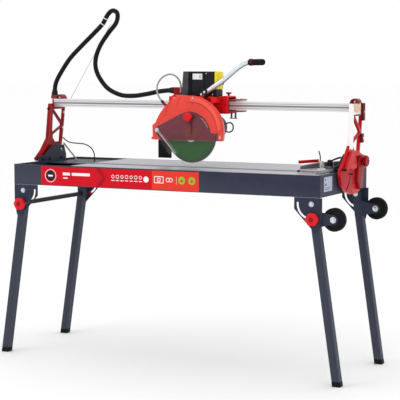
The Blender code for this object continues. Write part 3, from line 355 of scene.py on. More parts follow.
def inside(point, loop):
    """Whether a point lies inside a closed loop."""
    hits = False
    for (a, b), (c, d) in zip(loop, loop[1:] + loop[:1]):
        if (b > point[1]) != (d > point[1]) and point[0] < a + (point[1] - b) * (c - a) / (d - b):
            hits = not hits
    return hits


def wound(loops):
    """Outer loops run one way round and holes the other, so that bevels grow the right way."""
    turned = []
    for index, loop in enumerate(loops):
        loop = list(loop)
        area = sum(a * d - c * b for (a, b), (c, d) in zip(loop, loop[1:] + loop[:1]))
        depth = sum(inside(loop[0], other) for k, other in enumerate(loops) if k != index)
        turned.append(loop if (area > 0) == (depth % 2 == 0) else loop[::-1])
    return turned


def plate(loops, plane, span, edge=0.001, res=2):
    """Flat outline with holes, extruded across the span, with rounded edges."""
    half = (span[1] - span[0]) / 2
    edge = min(edge, half * 0.9)
    curve = bpy.data.curves.new("outline", "CURVE")
    curve.dimensions = "2D"
    curve.fill_mode = "BOTH"
    curve.extrude = half - edge
    curve.bevel_depth = edge
    curve.bevel_resolution = res
    curve.offset = -edge
    for loop in wound(loops):
        line = curve.splines.new("POLY")
        line.points.add(len(loop) - 1)
        for point, (a, b) in zip(line.points, loop):
            point.co = (a, b, 0, 1)
        line.use_cyclic_u = True
    drawn = bpy.data.objects.new("outline", curve)
    link(drawn)
    mesh = bpy.data.meshes.new_from_object(drawn)
    bpy.data.objects.remove(drawn, do_unlink=True)
    middle = (span[0] + span[1]) / 2
    if plane == "XZ":
        turn = Matrix.Translation((0, middle, 0)) @ Matrix.Rotation(radians(90), 4, "X")
    elif plane == "XY":
        turn = Matrix.Translation((0, 0, middle))
    else:
        swap = Matrix(((0, 0, 1, 0), (1, 0, 0, 0), (0, 1, 0, 0), (0, 0, 0, 1)))
        turn = Matrix.Translation((middle, 0, 0)) @ swap
    mesh.transform(turn)
    shape = bmesh.new()
    shape.from_mesh(mesh)
    bmesh.ops.remove_doubles(shape, verts=shape.verts, dist=0.000005)
    return facing_out(shape)


def box(x, y, z, edge=0.0015, segments=2):
    shape = bmesh.new()
    size = (x[1] - x[0], y[1] - y[0], z[1] - z[0])
    middle = Vector(((x[0] + x[1]) / 2, (y[0] + y[1]) / 2, (z[0] + z[1]) / 2))
    bmesh.ops.create_cube(shape, size=1.0, matrix=Matrix.Translation(middle) @ Matrix.Diagonal((*size, 1)))
    edge = min(edge, min(size) * 0.45)
    bmesh.ops.bevel(shape, geom=shape.edges[:], offset=edge, segments=segments, profile=0.5, affect="EDGES")
    return shape


AXES = {"X": Matrix.Rotation(radians(90), 4, "Y"), "-X": Matrix.Rotation(radians(-90), 4, "Y"),
    "Y": Matrix.Rotation(radians(-90), 4, "X"), "-Y": Matrix.Rotation(radians(90), 4, "X"),
    "Z": Matrix.Identity(4)}


def lathe(profile, centre, axis, steps=40, lobes=0, depth=0.0, lobed=()):
    """Turn (radius, height) points about an axis; lobes wave the radius of the points in lobed."""
    turn = axis if isinstance(axis, Matrix) else AXES[axis]
    place = Matrix.Translation(centre) @ turn
    shape = bmesh.new()
    rings = []
    for index, (radius, height) in enumerate(profile):
        if radius < 1e-7:
            rings.append([shape.verts.new(place @ Vector((0, 0, height)))])
            continue
        around = []
        for step in range(steps):
            angle = 2 * pi * step / steps
            wave = 1.0
            if index in lobed:
                wave = 1 - depth * (0.5 - 0.5 * cos(lobes * angle)) ** 1.6
            around.append(shape.verts.new(place @ Vector((radius * wave * cos(angle),
                radius * wave * sin(angle), height))))
        rings.append(around)
    closed = len(rings[0]) > 1 and len(rings[-1]) > 1
    pairs = list(zip(rings, rings[1:])) + ([(rings[-1], rings[0])] if closed else [])
    for low, high in pairs:
        for step in range(steps):
            after = (step + 1) % steps
            corners = ([low[0]] if len(low) == 1 else [low[step], low[after]])
            corners += ([high[0]] if len(high) == 1 else [high[after], high[step]])
            if len(corners) > 2:
                shape.faces.new(corners)
    return facing_out(shape)


def rod(radius, span, centre, axis, steps):
    """A plain cylinder between two heights above its centre."""
    return lathe([(0, span[0]), (radius, span[0]), (radius, span[1]), (0, span[1])], centre, axis, steps)


def mirrored(half):
    """A profile and its mirror image, as one line of points."""
    return half + [(radius, -height) for radius, height in half[::-1]]


def turned_to(direction):
    """The turn that points Z along a direction."""
    return direction.to_track_quat("Z", "Y").to_matrix().to_4x4()


def sweep(points, radius, segments=14, wave=None):
    """A round tube through the points, closed at both ends; wave(i) scales the radius at a point."""
    route = [Vector(p) for p in points]
    shape = bmesh.new()
    tangent = (route[1] - route[0]).normalized()
    side = tangent.orthogonal().normalized()
    rings = []
    for index, place in enumerate(route):
        ahead = route[min(index + 1, len(route) - 1)] - route[max(index - 1, 0)]
        turn = tangent.rotation_difference(ahead.normalized())
        side = (turn @ side).normalized()
        tangent = ahead.normalized()
        across = tangent.cross(side)
        size = radius * (wave(index) if wave else 1)
        rings.append([shape.verts.new(place + size * (side * cos(a) + across * sin(a)))
                      for a in (2 * pi * k / segments for k in range(segments))])
    for low, high in zip(rings, rings[1:]):
        for k in range(segments):
            n = (k + 1) % segments
            shape.faces.new((low[k], low[n], high[n], high[k]))
    shape.faces.new(rings[0][::-1])
    shape.faces.new(rings[-1])
    return facing_out(shape)


def smooth_route(points, per_span):
    """Points along a Catmull-Rom curve through the route, as in the CAD source."""
    route = [Vector(p) for p in points]
    route = [route[0] * 2 - route[1]] + route + [route[-1] * 2 - route[-2]]
    result = []
    for i in range(1, len(route) - 2):
        a, b, c, d = route[i - 1:i + 3]
        for step in range(per_span):
            t = step / per_span
            result.append(0.5 * (2 * b + (c - a) * t + (2 * a - 5 * b + 4 * c - d) * t * t
                + (3 * b - a - 3 * c + d) * t * t * t))
    result.append(route[-2])
    return result


def evenly(points, step):
    """The same line with points a set distance apart."""
    result = [points[0].copy()]
    left = step
    for a, b in zip(points, points[1:]):
        length = (b - a).length
        done = 0.0
        while length - done >= left:
            done += left
            result.append(a.lerp(b, done / length))
            left = step
        left -= length - done
    if (result[-1] - points[-1]).length > step * 0.3:
        result.append(points[-1].copy())
    else:
        result[-1] = points[-1].copy()
    return result


def bolt(centre, axis, radius, height, washer=1.35):
    """Hexagon bolt head on a washer."""
    shape = lathe([(0, 0), (radius * washer, 0), (radius * washer, height * 0.22),
        (radius * 0.9, height * 0.24), (0, height * 0.24)], centre, axis, 28)
    head = bmesh.new()
    place = Matrix.Translation(centre) @ AXES[axis]
    rings = []
    for size, z in ((1.0, 0.22), (1.0, 0.86), (0.88, 1.0)):
        rings.append([head.verts.new(place @ Vector((radius * size * cos(a), radius * size * sin(a),
                                                     height * z)))
                      for a in (radians(60 * k + 12) for k in range(6))])
    for low, high in zip(rings, rings[1:]):
        for k in range(6):
            head.faces.new((low[k], low[(k + 1) % 6], high[(k + 1) % 6], high[k]))
    head.faces.new(rings[0][::-1])
    head.faces.new(rings[-1])
    return merged(shape, facing_out(head))


def merged(*shapes):
    """Several shapes as one."""
    whole = bmesh.new()
    for shape in shapes:
        mesh = bpy.data.meshes.new("part")
        shape.to_mesh(mesh)
        shape.free()
        whole.from_mesh(mesh)
        bpy.data.meshes.remove(mesh)
    return whole


def piece(name, body, parts, replaces=(), angle=32, blend=None):
    """One object from (shape, material) pairs, in place, riding on a body."""
    whole = bmesh.new()
    mesh = bpy.data.meshes.new(name)
    used = []
    for shape, finish in parts:
        if finish not in used:
            used.append(finish)
        for face in shape.faces:
            face.material_index = used.index(finish)
        part = bpy.data.meshes.new("part")
        shape.to_mesh(part)
        shape.free()
        whole.from_mesh(part)
        bpy.data.meshes.remove(part)
    bmesh.ops.translate(whole, verts=whole.verts, vec=(SHIFT, 0, 0))
    for face in whole.faces:
        face.smooth = True
    whole.to_mesh(mesh)
    whole.free()
    for finish in used:
        mesh.materials.append(M[finish])
    mesh.set_sharp_from_angle(angle=radians(angle))
    item = bpy.data.objects.new(name, mesh)
    link(item)
    if blend:
        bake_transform(item)
    else:
        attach(item, body)
    if replaces:
        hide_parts(*replaces)
    return item


def dress(node, finish, edge=0.0, segments=2):
    """Give a CAD node its finish, and round its edges with a bevel modifier."""
    item = NODES[node]
    for material_slot in item.material_slots:
        material_slot.material = M[finish]
    if edge:
        bevel = item.modifiers.new("edges", "BEVEL")
        bevel.width = edge
        bevel.segments = segments
        bevel.limit_method = "ANGLE"
        bevel.angle_limit = radians(40)
        bevel.harden_normals = True
        bevel.use_clamp_overlap = True


# ---------------------------------------------------------------- table and legs

def sign(end):
    return -1 if end == "front" else 1


def make_table():
    for node, finish, edge in (("table_frame", "slate", 0.0012), ("table_plate_front", "table", 0.0008),
            ("table_plate_rear", "table", 0.0008), ("pump_cover", "slate", 0.0006),
            ("fence_rail", "fence", 0.0005), ("leg_crossbar", "black", 0.0012),
            ("mudflap", "rubber", 0.0008)):
        dress(node, finish, edge)
    dress("water_tray", "tray", 0.0006, 1)
    for node in ("stay_rod", "arbor", "guide_roller_left", "guide_roller_right"):
        dress(node, "zinc")
    for side in ("left", "right"):
        for end in ("front", "rear"):
            dress(f"leg_{side}_{end}", "slate", 0.0012)
            dress(f"foot_cap_{side}_{end}", "rubber")
    ribs = [box((-0.7185, -0.5515), (0.0935, 0.1865), (0.815 + 0.012 * k, 0.8178 + 0.012 * k), 0.0008)
            for k in range(4)]
    pump = [(box((-0.715, -0.555), (0.09, 0.19), (0.8075, 0.868), 0.007, 4), "black"),
        (merged(*ribs), "grey_plastic")]
    piece("pump_body", "frame", pump, ["pump"])


def rect(x, z, radius, count=5):
    corners = [((x[1] - radius, z[1] - radius), 0), ((x[0] + radius, z[1] - radius), 90),
        ((x[0] + radius, z[0] + radius), 180), ((x[1] - radius, z[0] + radius), 270)]
    return [p for centre, start in corners for p in arc(centre, radius, start, start + 90, count)]


def front_layer(loops, layer):
    """A thin sticker on the frame's front, one of several layers."""
    y = -FRAME_Y - 0.0003 * layer
    return plate(loops, "XZ", (y - 0.0003, y), 0.00008, 0)


def make_decals():
    """Plain coloured panels and blank marks where the saw carries its lettering."""
    low, high = 0.803, 0.888
    middle = (low + high) / 2
    panels = [(front_layer([[(-0.617, low), (-0.0375, low), (-0.0375, high), (-0.617, high)]], 0),
        "decal_red"), (front_layer([[(-0.0375, low), (0.196, low), (0.196, high), (-0.0375, high)]], 0),
        "decal_orange")]
    chevron = [(-0.327, high), (-0.303, high), (-0.268, middle), (-0.303, low), (-0.327, low),
        (-0.292, middle)]
    panels.append((front_layer([chevron], 1), "decal_dark"))
    badge = (-0.566, middle)
    panels += [(front_layer([ring(badge, 0.03), ring(badge, 0.0275)], 1), "decal_white"),
        (front_layer([ring(badge, 0.024)], 1), "decal_black"),
        (front_layer([rect((badge[0] - 0.013, badge[0] + 0.013), (middle - 0.004, middle + 0.004), 0.003)],
        2), "decal_white")]
    holes = []
    marks = [rect((-0.5, -0.462), (middle + 0.004, middle + 0.017), 0.003),
        rect((-0.452, -0.356), (middle + 0.004, middle + 0.017), 0.003),
        rect((-0.498, -0.474), (middle - 0.011, middle - 0.005), 0.002)]
    for index in range(7):
        x = -0.236 + index * 0.0235
        if index % 2:
            marks.append(rect((x - 0.0075, x + 0.0075), (middle, middle + 0.016), 0.003))
            holes.append(rect((x - 0.0052, x + 0.0052), (middle + 0.0025, middle + 0.0135), 0.002))
        else:
            marks.append(ring((x, middle + 0.008), 0.0078, 20))
            holes.append(ring((x, middle + 0.008), 0.0052, 20))
        marks.append(rect((x - 0.0085, x + 0.0085), (middle - 0.011, middle - 0.0075), 0.001))
    panels += [(front_layer(marks + holes, 1), "decal_white"),
        (front_layer([ring((-0.0665, middle + 0.001), 0.0135)], 1), "decal_white")]
    glyphs = [rect((-0.026, 0.022), (middle - 0.013, middle + 0.018), 0.003),
        rect((-0.0225, 0.0185), (middle - 0.0095, middle + 0.0145), 0.002)]
    glyphs += [ring((x, middle + rise), radius, 20) for x, rise, radii in
               ((-0.002, 0.0025, (0.0095, 0.0062)), (0.043, 0.003, (0.01, 0.0068)),
                (0.058, 0.003, (0.01, 0.0068))) for radius in radii]
    panels += [(front_layer(glyphs[:6], 1), "decal_white"), (front_layer(glyphs[6:], 2), "decal_white"),
        (front_layer([rect((0.085, 0.0862), (middle - 0.016, middle + 0.019), 0.0005)], 1), "decal_white")]
    for x in (0.1115, 0.1615):
        panels += [(front_layer([ring((x, middle + 0.003), 0.0168)], 1), "decal_green"),
            (front_layer([ring((x, middle + 0.001), 0.007, 18)], 2), "decal_orange")]
    piece("front_decal", "frame", panels)
    x = FRAME_X
    label = [(plate([rect((-0.237, -0.144), (0.821, 0.883), 0.002)], "YZ", (x, x + 0.0004), 0.0001, 0),
        "decal_blue")]
    blocks = [rect((-0.228, -0.214), (0.868, 0.878), 0.001), rect((-0.228, -0.206), (0.846, 0.856), 0.001),
        rect((-0.225, -0.16), (0.836, 0.839), 0.001), rect((-0.225, -0.172), (0.829, 0.832), 0.001)]
    label.append((plate(blocks, "YZ", (x + 0.0004, x + 0.0006), 0.00005, 0), "decal_slate"))
    piece("rating_label", "frame", label)


def make_bracket(side, end):
    inward = 1 if side == "left" else -1
    front = sign(end)
    x0 = LEG_PIVOT_X[side]
    span = sorted((front * 0.2785, front * 0.2825))
    corners = [(-0.048, 0.027), (0.079, 0.027), (0.079, -0.022), (-0.011, -0.116), (-0.036, -0.116),
        (-0.048, -0.06)]
    lean = degrees(LEG_LEAN)
    slot = arc_slot((0, 0), 0.063, 0.0045, -92 - lean, -86 - lean + 98)
    loops = [[(x0 + inward * a, LEG_PIVOT_Z + b) for a, b in loop] for loop in (corners, slot)]
    axis = "-Y" if front < 0 else "Y"
    face = front * 0.2825
    parts = [(plate(loops, "XZ", span, 0.0012, 3), "slate"),
        (bolt((x0, face, LEG_PIVOT_Z), axis, 0.0085, 0.0065), "zinc")]
    low, high = sorted((front * 0.243, front * 0.279))
    parts.append((rod(0.005, (0, high - low), (x0, low, LEG_PIVOT_Z), "Y", 20), "zinc"))
    if end == "rear":
        parts.append((bolt((x0, low, LEG_PIVOT_Z), "-Y", 0.0085, 0.0045), "zinc"))
    piece(f"bracket_{side}_{end}", "frame", parts, [f"leg_bracket_{side}_{end}"])


def make_leg_knob(side, end):
    front = sign(end)
    outward = -1 if side == "left" else 1
    x = LEG_PIVOT_X[side] + outward * 0.063 * sin(LEG_LEAN)
    z = LEG_PIVOT_Z - 0.063 * cos(LEG_LEAN)
    centre = (x, front * (LEG_Y + 0.0175), z)
    axis = "-Y" if front < 0 else "Y"
    star = lathe([(0, 0.0085), (0.012, 0.0085), (0.014, 0.0118), (0.0262, 0.0128), (0.0284, 0.015),
        (0.029, 0.0187), (0.029, 0.0253), (0.0281, 0.0286), (0.026, 0.0304), (0.015, 0.0325),
        (0.0118, 0.0328), (0.0106, 0.0318), (0.0098, 0.0275), (0, 0.027)], centre, axis, 72, 6, 0.09,
        {3, 4, 5, 6, 7, 8})
    core = lathe([(0, 0.0262), (0.0104, 0.0264), (0.0098, 0.0288), (0, 0.029)], centre, axis, 20)
    stud = rod(0.0039, (0.0003, 0.009), centre, axis, 20)
    piece(f"knob_{side}_{end}", f"leg_knob_{side}_{end}",
        [(star, "knob"), (core, "deep_red"), (stud, "zinc")], [f"leg_knob_{side}_{end}"])


def make_wheel(end):
    centre = Vector((WHEEL[0], WHEEL_Y[end], WHEEL[1]))
    wall = [(0.0345, 0.0116), (0.0362, 0.014), (0.04, 0.0148), (0.0452, 0.0146), (0.048, 0.0134),
        (0.0496, 0.0108)]
    tread = []
    for k in range(-2, 3):
        z = -0.0042 * k
        tread += [(0.05, z + 0.0013), (0.05, z - 0.0013), (0.0489, z - 0.0017), (0.0489, z - 0.0025)]
    tyre = wall + tread[:-2] + mirrored(wall)[len(wall):]
    hub = mirrored([(0.0056, 0.0148), (0.0128, 0.0148), (0.0142, 0.0137), (0.0152, 0.0095), (0.0325, 0.0085),
        (0.0349, 0.0111)])
    ribs = []
    for k in range(6):
        rib = box((0.0135, 0.0335), (-0.0112, 0.0112), (-0.0013, 0.0013), 0.0006, 1)
        bmesh.ops.transform(rib, verts=rib.verts, matrix=Matrix.Translation(centre)
            @ Matrix.Rotation(radians(60 * k + 15), 4, "Y"))
        ribs.append(rib)
    parts = [(lathe(tyre, centre, "Y", 72), "rubber"), (lathe(hub, centre, "Y", 48), "black"),
        (merged(*ribs), "black")]
    piece(f"transport_wheel_{end}", f"wheel_{end}", parts, [f"wheel_{end}"])
    face = (WHEEL[0], CARRIER_FACE[end], WHEEL[1])
    piece(f"axle_nut_{end}", f"right_{end}_leg", [(bolt(face, "-Y", 0.0108, 0.004, 1.25), "zinc")])


# ---------------------------------------------------------------- bridge

TOWER_FRONT = [(0.009, 0.999), (-0.043, 0.944)]
TOWER_REAR = [(0.138, 0.968), (0.156, 1.055)]
WINDOWS = [[(0.068, 1.136), (0.157, 1.136), (0.146, 1.07)],
    [(0.06, 1.131), (0.1385, 1.062), (0.1385, 1.056), (0.05, 1.02)],
    [(0.056, 1.013), (0.1365, 1.047), (0.1265, 0.978), (0.076, 0.978), (0.056, 0.998)]]


def make_hinges():
    outline = [(-0.094, 0.86), (0.15, 0.86), (0.15, 0.915), (0.131, 0.962), (0.03, 0.966), (-0.04, 0.921),
        (-0.094, 0.918)]
    for side, span, pin, axis, face in (("left", (-0.7527, -0.7467), (-0.7827, -0.75), "X", -0.7467),
            ("right", (0.7467, 0.7527), (0.7494, 0.8064), "-X", 0.7467)):
        parts = [(plate([outline], "YZ", span, 0.0015, 3), "slate")]
        bolts = [bolt((face, y, z), axis, 0.0055, 0.0045) for y, z in
                 ((-0.002, 0.901), (0.102, 0.9), (-0.06, 0.901))]
        parts += [(merged(*bolts), "black_steel"), (bolt((face, 0.103, 0.94), axis, 0.0055, 0.0045), "zinc")]
        length = pin[1] - pin[0]
        shaft = lathe([(0, 0), (0.0044, 0), (0.005, 0.0008), (0.005, length - 0.0008), (0.0044, length),
            (0, length)], (pin[0], *TILT), "X", 24)
        parts.append((shaft, "black_steel"))
        piece(f"hinge_{side}", "frame", parts, [f"hinge_plate_{side}"])


def make_tower_left():
    foot = arc(TILT, 0.0112, 150, 270, 9) + [(0.12, 0.897), (0.126, 0.93)]
    outline = [(0.0345, 1.164), *TOWER_FRONT, *foot, *TOWER_REAR, (0.1737, 1.164)]
    # Painted shade: the truss plate takes the darker red of its shaded inner face; the front rib keeps the
    # plain red paint.
    parts = [(plate([outline, *WINDOWS, ring(TILT, 0.0054, 20)], "YZ", (-0.777, -0.763), 0.0016, 3),
        "deep_red")]
    rib = [(0.037, 1.162), (0.0125, 0.996), (-0.039, 0.941), (-0.066, 0.92), (-0.06, 0.913), (-0.028, 0.933),
        (0.022, 0.99), (0.049, 1.162)]
    parts.append((plate([rib], "YZ", (-0.764, -0.762), 0.0009, 3), "red"))
    studs = [bolt((-0.763, y, z), "X", 0.0036, 0.0034) for y, z in
             ((-0.0705, 0.913), (-0.064, 0.899), (-0.052, 0.909))]
    studs += [bolt((-0.763, y, z), "X", 0.0048, 0.0045) for y, z in ((0.157, 1.12), (0.142, 1.045))]
    parts += [(merged(*studs), "zinc"), (bolt((-0.77, 0.031, 1.14), "-Y", 0.0048, 0.011, 1.3),
        "black_steel"), (box((-0.7765, -0.7632), (0.072, 0.122), (1.16, 1.1858), 0.0015), "brown_red")]
    piece("truss_left", "bridge", parts, ["tower_left"])


def make_tower_right():
    foot = [(-0.0912, 0.905), (-0.099, 0.88), (-0.08, 0.836), (-0.024, 0.804), (0.04, 0.79), (0.1, 0.79),
        (0.14, 0.798), (0.158, 0.82), (0.166, 0.88), (0.188, 0.905), (0.192, 0.935), (0.18, 0.956)]
    outline = [(0.0379, BEAM_Z[1]), *TOWER_FRONT, *foot, *TOWER_REAR, (0.1772, BEAM_Z[1])]
    reach = dist(BEVEL_STUD, TILT)
    start = bearing(TILT, BEVEL_STUD)
    slot = arc_slot(TILT, reach, 0.0048, start - 46, start + 1)
    main = plate([outline, *WINDOWS, slot, ring(TILT, 0.0054, 20)], "YZ", (0.7705, 0.7845), 0.0004, 2)
    lobe = [(0.006, 0.98), (-0.046, 0.932), (-0.06, 0.9), (0.003, 0.905), (0.02, 0.898), (0.06, 0.902),
        (0.076, 0.918), (0.06, 0.95)]
    rear_lobe = [(0.078, 0.85), (0.11, 0.806), (0.14, 0.812), (0.156, 0.86), (0.16, 0.89), (0.184, 0.912),
        (0.186, 0.94), (0.168, 0.956), (0.12, 0.956), (0.092, 0.93)]
    sector = [(-0.089, 0.904), (-0.096, 0.88), (-0.078, 0.84), (-0.023, 0.808), (0.036, 0.7935),
        (0.066, 0.84), (0.058, 0.88), (0.04, 0.8975), (0.012, 0.896), (-0.06, 0.899)]
    # Painted shade: the rear lobe takes the darker red of the tower's shaded side; the front lobe keeps the
    # plain red paint.
    parts = [(main, "red"), (plate([sector, slot], "YZ", (0.784, 0.7852), 0.0003, 2), "dusty_red"),
        (plate([lobe], "YZ", (0.783, 0.7985), 0.005, 4), "red"),
        (plate([rear_lobe], "YZ", (0.783, 0.7985), 0.005, 4), "deep_red")]
    flanges = [((0.142, 0.166), (1.108, 1.186)), ((0.132, 0.152), (1.011, 1.052))]
    for y, z in flanges:
        parts += [(box((0.783, 0.7985), y, z, 0.0022, 3), "dark_red"),
            (bolt((0.7985, sum(y) / 2, sum(z) / 2), "X", 0.004, 0.0012, 1.2), "zinc")]
    # Painted highlight: the front column's face and edge strip are near-white, standing in for glare off the
    # red paint.
    glare_face = [(0.0385, 1.185), (0.01, 0.999), (0.004, 0.99), (0.048, 0.985), (0.053, 1.0), (0.057, 1.137),
        (0.142, 1.137), (0.142, 1.185)]
    parts.append((plate([glare_face], "YZ", (0.7838, 0.7856), 0.0007, 3), "pale_red"))
    edge = [(0.0372, 1.1855), (0.0092, 1.004), (0.012, 1.004), (0.04, 1.1855)]
    parts.append((plate([edge], "YZ", (0.7702, 0.7852), 0.0004, 1), "pale_red"))
    bars = [box((0.7838, 0.788), (0.06, 0.148), (1.13, 1.1362), 0.0008)]
    for low, high in (((0.138, 1.059), (0.064, 1.129)), ((0.052, 1.016), (0.137, 1.052))):
        run = Vector(high) - Vector(low)
        across = Vector((-run.y, run.x)).normalized() * 0.0022
        corners = [Vector(low) + across, Vector(high) + across, Vector(high) - across, Vector(low) - across]
        bars.append(plate([[tuple(c) for c in corners]], "YZ", (0.7838, 0.7862), 0.0006, 1))
    parts += [(merged(*bars), "brown_red"), (box((0.784, 0.7972), (0.06, 0.112), (1.15, 1.1858), 0.004, 3),
        "beige"), (bolt((0.7972, 0.086, 1.168), "X", 0.0056, 0.0014, 1.25), "zinc")]
    piece("truss_right", "bridge", parts, ["tower_right"])


def make_beam():
    front, back = BEAM_SIDES
    low, high = BEAM_Z
    steps = [(0, high), (0, 1.1785), (0.0016, 1.1785), (0.0016, 1.1765), (0, 1.1765), (0, 1.1712),
        (0.003, 1.1712), (0.003, 1.1628), (0, 1.1628), (0, 1.1575), (0.0016, 1.1575), (0.0016, 1.1555),
        (0, 1.1555), (0, low)]
    outline = [(front + d, z) for d, z in steps] + [(back - d, z) for d, z in steps[::-1]]
    chambers = [[(y0, 1.151), (y1, 1.151), (y1, 1.183), (y0, 1.183)]
                for y0, y1 in ((0.0735, 0.095), (0.1, 0.1215))]
    parts = [(plate([outline, *chambers], "YZ", (-0.7627, 0.7702), 0.0003, 1), "beam")]
    # Painted shade: dark strips on the groove floors stand in for the shade inside the beam's grooves.
    groove_shade = []
    for y in (front, back):
        inward = 1 if y == front else -1
        for depth, z0, z1 in ((0.003, 1.1632, 1.1708), (0.0016, 1.1767, 1.1783), (0.0016, 1.1557, 1.1573)):
            inner = y + inward * (depth + 0.0004)
            outer = y + inward * (depth - 0.0003)
            groove_shade.append(box((-0.7622, 0.7697), sorted((inner, outer)), (z0, z1), 0.0001, 1))
    parts.append((merged(*groove_shade), "beam_dark"))
    piece("beam_profile", "bridge", parts, ["guide_beam"])


def make_beam_cap(side, x):
    base = (x, BEAM_Z[1] + 0.0003)
    arch = arc(base, 0.021, 0, 180, 25) + arc(base, 0.0145, 180, 0, 25)
    y = (BEAM_Y - 0.022, BEAM_Y + 0.022)
    parts = [(plate([arch], "XZ", y, 0.0012, 3), "brown_red"),
        (plate([arc((x, base[1]), 0.014, 0, 180, 21)], "XZ", (y[0] + 0.01, y[1] - 0.004), 0.001),
        "deep_red"), (bolt((x, y[0] + 0.01, base[1] + 0.0065), "-Y", 0.0034, 0.0032), "zinc")]
    if side == "left":
        parts.append((box((-0.79, x - 0.016), (BEAM_Y - 0.014, BEAM_Y + 0.016), (base[1], 1.203), 0.0018, 3),
            "brown_red"))
        collar = [(0.0118, 0.0), (0.015, 0.0), (0.0155, 0.002), (0.015, 0.01), (0.0135, 0.018),
            (0.012, 0.026), (0.0118, 0.026)]
        parts += [(lathe(collar, (-0.777, CONDUIT_Y, 1.2034), "Z", 28), "black"),
            (box((-0.7895, -0.785), (0.088, 0.109), (1.2005, 1.215), 0.001), "black")]
    piece(f"end_arch_{side}", "bridge", parts, [f"beam_cap_{side}"])


def make_bridge_small():
    star = lathe([(0, 0.004), (0.021, 0.0045), (0.0242, 0.0065), (0.025, 0.009), (0.025, 0.0175),
        (0.0242, 0.0205), (0.0215, 0.0222), (0.009, 0.0218), (0.008, 0.02), (0, 0.0198)], BEVEL_LOCK, "X",
        72, 8, 0.12, {1, 2, 3, 4, 5, 6})
    stud = rod(0.005, (-0.0005, 0.0045), BEVEL_LOCK, "X", 20)
    piece("bevel_lock", "bevel_knob", [(star, "deep_red"), (stud, "zinc")], ["bevel_knob"])


# ---------------------------------------------------------------- carriage

def make_carriage():
    outer = [(0.053, 1.13), (0.142, 1.13), (0.145, 1.134), (0.145, 1.203), (0.142, 1.207), (0.053, 1.207),
        (0.05, 1.203), (0.05, 1.134)]
    tunnel = [(0.0635, 1.144), (0.1315, 1.144), (0.1315, 1.2032), (0.0635, 1.2032)]
    # Painted light: the casting and its lumps take the brightened red, a lit copy of the red paint for a part
    # that sits in shade.
    parts = [(plate([outer, tunnel], "YZ", (-0.125, 0.177), 0.0022, 3), "lit_copy_red"),
        (box((-0.118, -0.09), (0.082, 0.115), (1.206, 1.248), 0.004, 3), "deep_red")]
    bulges = [box((0.148, 0.1765), (0.0455, 0.054), (1.17, 1.202), 0.004, 4),
        box((0.144, 0.174), (0.0455, 0.054), (1.134, 1.166), 0.004, 4),
        box((0.138, 0.1755), (0.054, 0.14), (1.205, 1.211), 0.0028, 3)]
    parts.append((merged(*bulges), "lit_copy_red"))
    wipers = [box((0.17, 0.235), (0.058, 0.137), (1.1898, 1.1968), 0.0012),
        box((0.17, 0.232), (0.058, 0.137), (1.138, 1.144), 0.0012)]
    parts += [(merged(*wipers), "brown_red"), (merged(bolt((0.215, 0.08, 1.1968), "Z", 0.004, 0.003),
        bolt((0.215, 0.115, 1.1968), "Z", 0.004, 0.003)), "zinc")]
    springs = []
    for x in (0.186, 0.206):
        coil = [Vector((x + 0.0038 * cos(a), 0.074 + 0.0038 * sin(a), 1.1365 - 0.0255 * a / 37.7))
                for a in (k * pi / 5 for k in range(61))]
        springs.append(sweep(coil, 0.0014, 6))
    parts += [(merged(*springs), "black_steel"), (box((0.178, 0.214), (0.068, 0.08), (1.108, 1.1115), 0.001),
        "black_steel")]
    pin = rod(0.008, (0, 0.093), (PIVOT[0], -0.038, PIVOT[1]), "Y", 28)
    parts.append((pin, "zinc"))
    socket = lathe([(0.0116, 0.0), (0.0148, 0.0), (0.0155, 0.003), (0.0152, 0.012), (0.0132, 0.024),
        (0.0118, 0.03), (0.0116, 0.03)], (-0.1175, CONDUIT_Y, 1.233), "-X", 28)
    parts.append((socket, "black"))
    piece("carriage_casting", "carriage", parts, ["carriage"])
    star = lathe([(0, 0.0205), (0.0095, 0.0205), (0.0125, 0.0198), (0.014, 0.018), (0.014, 0.0145),
        (0.0115, 0.0125), (0.005, 0.0118), (0.005, 0.0043), (0, 0.0043)], (0.16, BEAM_Y, 1.207), "Z", 60, 6,
        0.16, {1, 2, 3, 4, 5})
    piece("slide_lock", "carriage_lock_knob", [(star, "deep_red")], ["carriage_lock_knob"])


# ---------------------------------------------------------------- head

def guard_line(inset):
    """The guard's edge from low right over the top to low left, drawn in by the inset."""
    line = [(0.2218 - inset, GUARD_BOTTOM), (0.2264 - inset, 1.0496)]
    line += arc(GUARD_ARC, 0.1606 - inset, 3, 93, 30)
    line += arc((0.1, 1.0), 0.2395 - inset, 112, 157, 16)
    return line + [(-0.1375 + inset, 1.0795), (-0.135 + inset, 1.018), (-0.13 + inset, GUARD_BOTTOM)]


